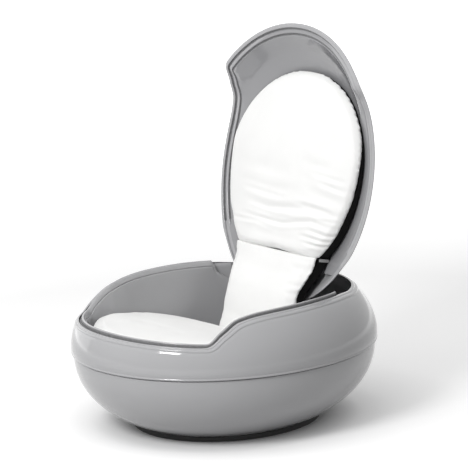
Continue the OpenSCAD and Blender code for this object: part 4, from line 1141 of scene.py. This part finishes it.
for _ob, _mat, _slot, _node, _fill in (
        (back_cushion(), M_COTTON, "cotton", "back_cushion", 0.75),
        (back_core(), M_BLACK, "black_backing", "back_core", 0.9)):
    dress(_ob, _mat, "lid", [_node])
_seat = dress(seat_cushion(), M_COTTON, "bowl", ["seat_cushion"])
for _ob, _mat, _slot, _node, _fill in (
        (lower_back_pad(), M_COTTON, "cotton", "lower_back_pad", 0.7),
        (lower_back_backing(), M_BLACK, "black_backing", "lower_back_backing", 0.9)):
    _ob.data.materials.clear()
    _ob.data.materials.append(_mat)
    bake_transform(_ob)
    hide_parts(_node)
# the cord of painted crease shade, riding the lid
dress(fold_shade_cord(), M_FOLD_SHADE, "lid")
for _side in (1, -1):
    dress(fold_tab(_side), M_WEB, "lid", ["fold_tabs"] if _side > 0 else [])


# Floor, light, camera
def seen_rays(nt):
    """One for rays of the camera, of gloss and of clear materials, else zero."""
    lp = add(nt, "ShaderNodeLightPath")
    a = add(nt, "ShaderNodeMath", "MAXIMUM")
    b = add(nt, "ShaderNodeMath", "MAXIMUM")
    nt.links.new(lp.outputs["Is Camera Ray"], a.inputs[0])
    nt.links.new(lp.outputs["Is Glossy Ray"], a.inputs[1])
    nt.links.new(a.outputs[0], b.inputs[0])
    nt.links.new(lp.outputs["Is Transmission Ray"], b.inputs[1])
    return b.outputs[0]


FLOOR_HALF, FLOOR_Z = 14.0, -0.0005
FLOOR_TONE, FLOOR_SEEN_TONE = (0.58, 0.58, 0.58), (0.77, 0.77, 0.77)
# the floor's glow by distance from the middle, in shares of the plan outline: none near the chair, which
# paints shade round its foot, and white far off
GLOW_REACH = 10.0
GLOW_AND_PAINTED_SHADE = [(0.62, 0.0), (0.78, 0.12), (0.9, 0.26), (1.1, 0.33), (1.6, 0.43), (4.2, 0.42), (6.5, 0.65),
        (9.0, 1.0)]


def floor_material():
    mat, nt, b = node_material("floor_white")
    seen = seen_rays(nt)
    tone = ramp_node(nt, seen, [(0, FLOOR_TONE), (1, FLOOR_SEEN_TONE)])
    nt.links.new(tone.outputs[0], b.inputs["Base Color"])
    b.inputs["Roughness"].default_value = 0.9
    b.inputs["Specular IOR Level"].default_value = 0.1
    plan = add(nt, "ShaderNodeVectorMath", "MULTIPLY")
    plan.inputs[1].default_value = (1000 / HALF_W / GLOW_REACH, 1000 / HALF_D / GLOW_REACH, 0)
    nt.links.new(object_coords(nt), plan.inputs[0])
    far = add(nt, "ShaderNodeVectorMath", "LENGTH")
    nt.links.new(plan.outputs[0], far.inputs[0])
    # glow that fades out towards the chair: painted shade on the floor round its foot
    glow_and_shade = ramp_node(nt, far.outputs["Value"], [(r / GLOW_REACH, (v, v, v)) for r, v in GLOW_AND_PAINTED_SHADE])
    lift = add(nt, "ShaderNodeMath", "MULTIPLY")
    nt.links.new(seen, lift.inputs[0])
    nt.links.new(glow_and_shade.outputs[0], lift.inputs[1])
    b.inputs["Emission Color"].default_value = (1, 1, 1, 1)
    nt.links.new(lift.outputs[0], b.inputs["Emission Strength"])
    return mat


def floor():
    corners = [(x * FLOOR_HALF, y * FLOOR_HALF, FLOOR_Z) for x, y in ((-1, -1), (1, -1), (1, 1), (-1, 1))]
    me = bpy.data.meshes.new("floor")
    me.from_pydata(corners, [], [(0, 1, 2, 3)])
    me.materials.append(floor_material())
    ob = bpy.data.objects.new("floor", me)
    scene.collection.objects.link(ob)
    return ob


WORLD_LIGHT, WORLD_SEEN = 0.36, 1.0


def studio_world():
    """Even light from all round; white where it is seen."""
    world = bpy.data.worlds.new("studio")
    world.use_nodes = True
    nt = world.node_tree
    nt.nodes.clear()
    out = add(nt, "ShaderNodeOutputWorld")
    sky = add(nt, "ShaderNodeBackground")
    sky.inputs["Color"].default_value = (1, 1, 1, 1)
    level_of = add(nt, "ShaderNodeMapRange")
    level_of.inputs["To Min"].default_value = WORLD_LIGHT
    level_of.inputs["To Max"].default_value = WORLD_SEEN
    nt.links.new(seen_rays(nt), level_of.inputs["Value"])
    nt.links.new(level_of.outputs[0], sky.inputs["Strength"])
    nt.links.new(sky.outputs[0], out.inputs[0])
    return world


floor()
scene.world = studio_world()

# the camera's place, as fitted to the photograph: angles, distance, focal length in pixels, aim and roll
AZ, EL, DIST, FOCAL_PX = math.radians(52.2345), math.radians(12.1028), 7.505, 2821.95
AIM_RIGHT, AIM_UP, ROLL = 0.0325, 0.2903, math.radians(1.7249)
PHOTO_PX, SENSOR_MM, AIM_LOW = 468.0, 36.0, 0.2
back = Vector((math.sin(AZ) * math.cos(EL), -math.cos(AZ) * math.cos(EL), math.sin(EL)))
right = Vector((math.cos(AZ), math.sin(AZ), 0))
up = back.cross(right)
target = Vector((0, 0, AIM_LOW)) + right * AIM_RIGHT + up * AIM_UP


def photo_camera():
    x = right * math.cos(ROLL) - up * math.sin(ROLL)
    y = right * math.sin(ROLL) + up * math.cos(ROLL)
    data = bpy.data.cameras.new("camera")
    data.sensor_width = SENSOR_MM
    data.sensor_fit = "HORIZONTAL"
    data.lens = FOCAL_PX / PHOTO_PX * SENSOR_MM
    data.clip_end = 100
    ob = bpy.data.objects.new("camera", data)
    scene.collection.objects.link(ob)
    ob.matrix_world = Matrix(((x.x, y.x, back.x, 0), (x.y, y.y, back.y, 0), (x.z, y.z, back.z, 0),
                              (0, 0, 0, 1)))
    ob.location = target + back * DIST
    return ob


scene.camera = photo_camera()


def area(name, place, aim, size, watts):
    """A square lamp at a place, turned to an aim."""
    data = bpy.data.lights.new(name, "AREA")
    data.energy = watts
    data.size = size
    ob = bpy.data.objects.new(name, data)
    scene.collection.objects.link(ob)
    ob.location = place
    ob.rotation_euler = (Vector(aim) - Vector(place)).to_track_quat("-Z", "Y").to_euler()
    return ob


area("streak", target - right * 1.6 + back * 2.45 + Vector((0, 0, 1.4)), (0, 0, 0.4), 0.9, 44)
area("edge", target - right * 2.6 - back * 2.2 + Vector((0, 0, 0.5)), (0, 0, 0.3), 2.2, 10)
for _name, _place, _size, _watts in (
        ("key", target - right * 1.8 + back * 2.7 + Vector((0, 0, 1.1)), 1.2, 26),
        ("top", (0.1, -0.9, 3.2), 2.4, 34)):
    _soft = area(_name, _place, (0, 0, 0.35), _size, _watts)
    _soft.visible_glossy = False

scene.view_settings.view_transform = "Standard"
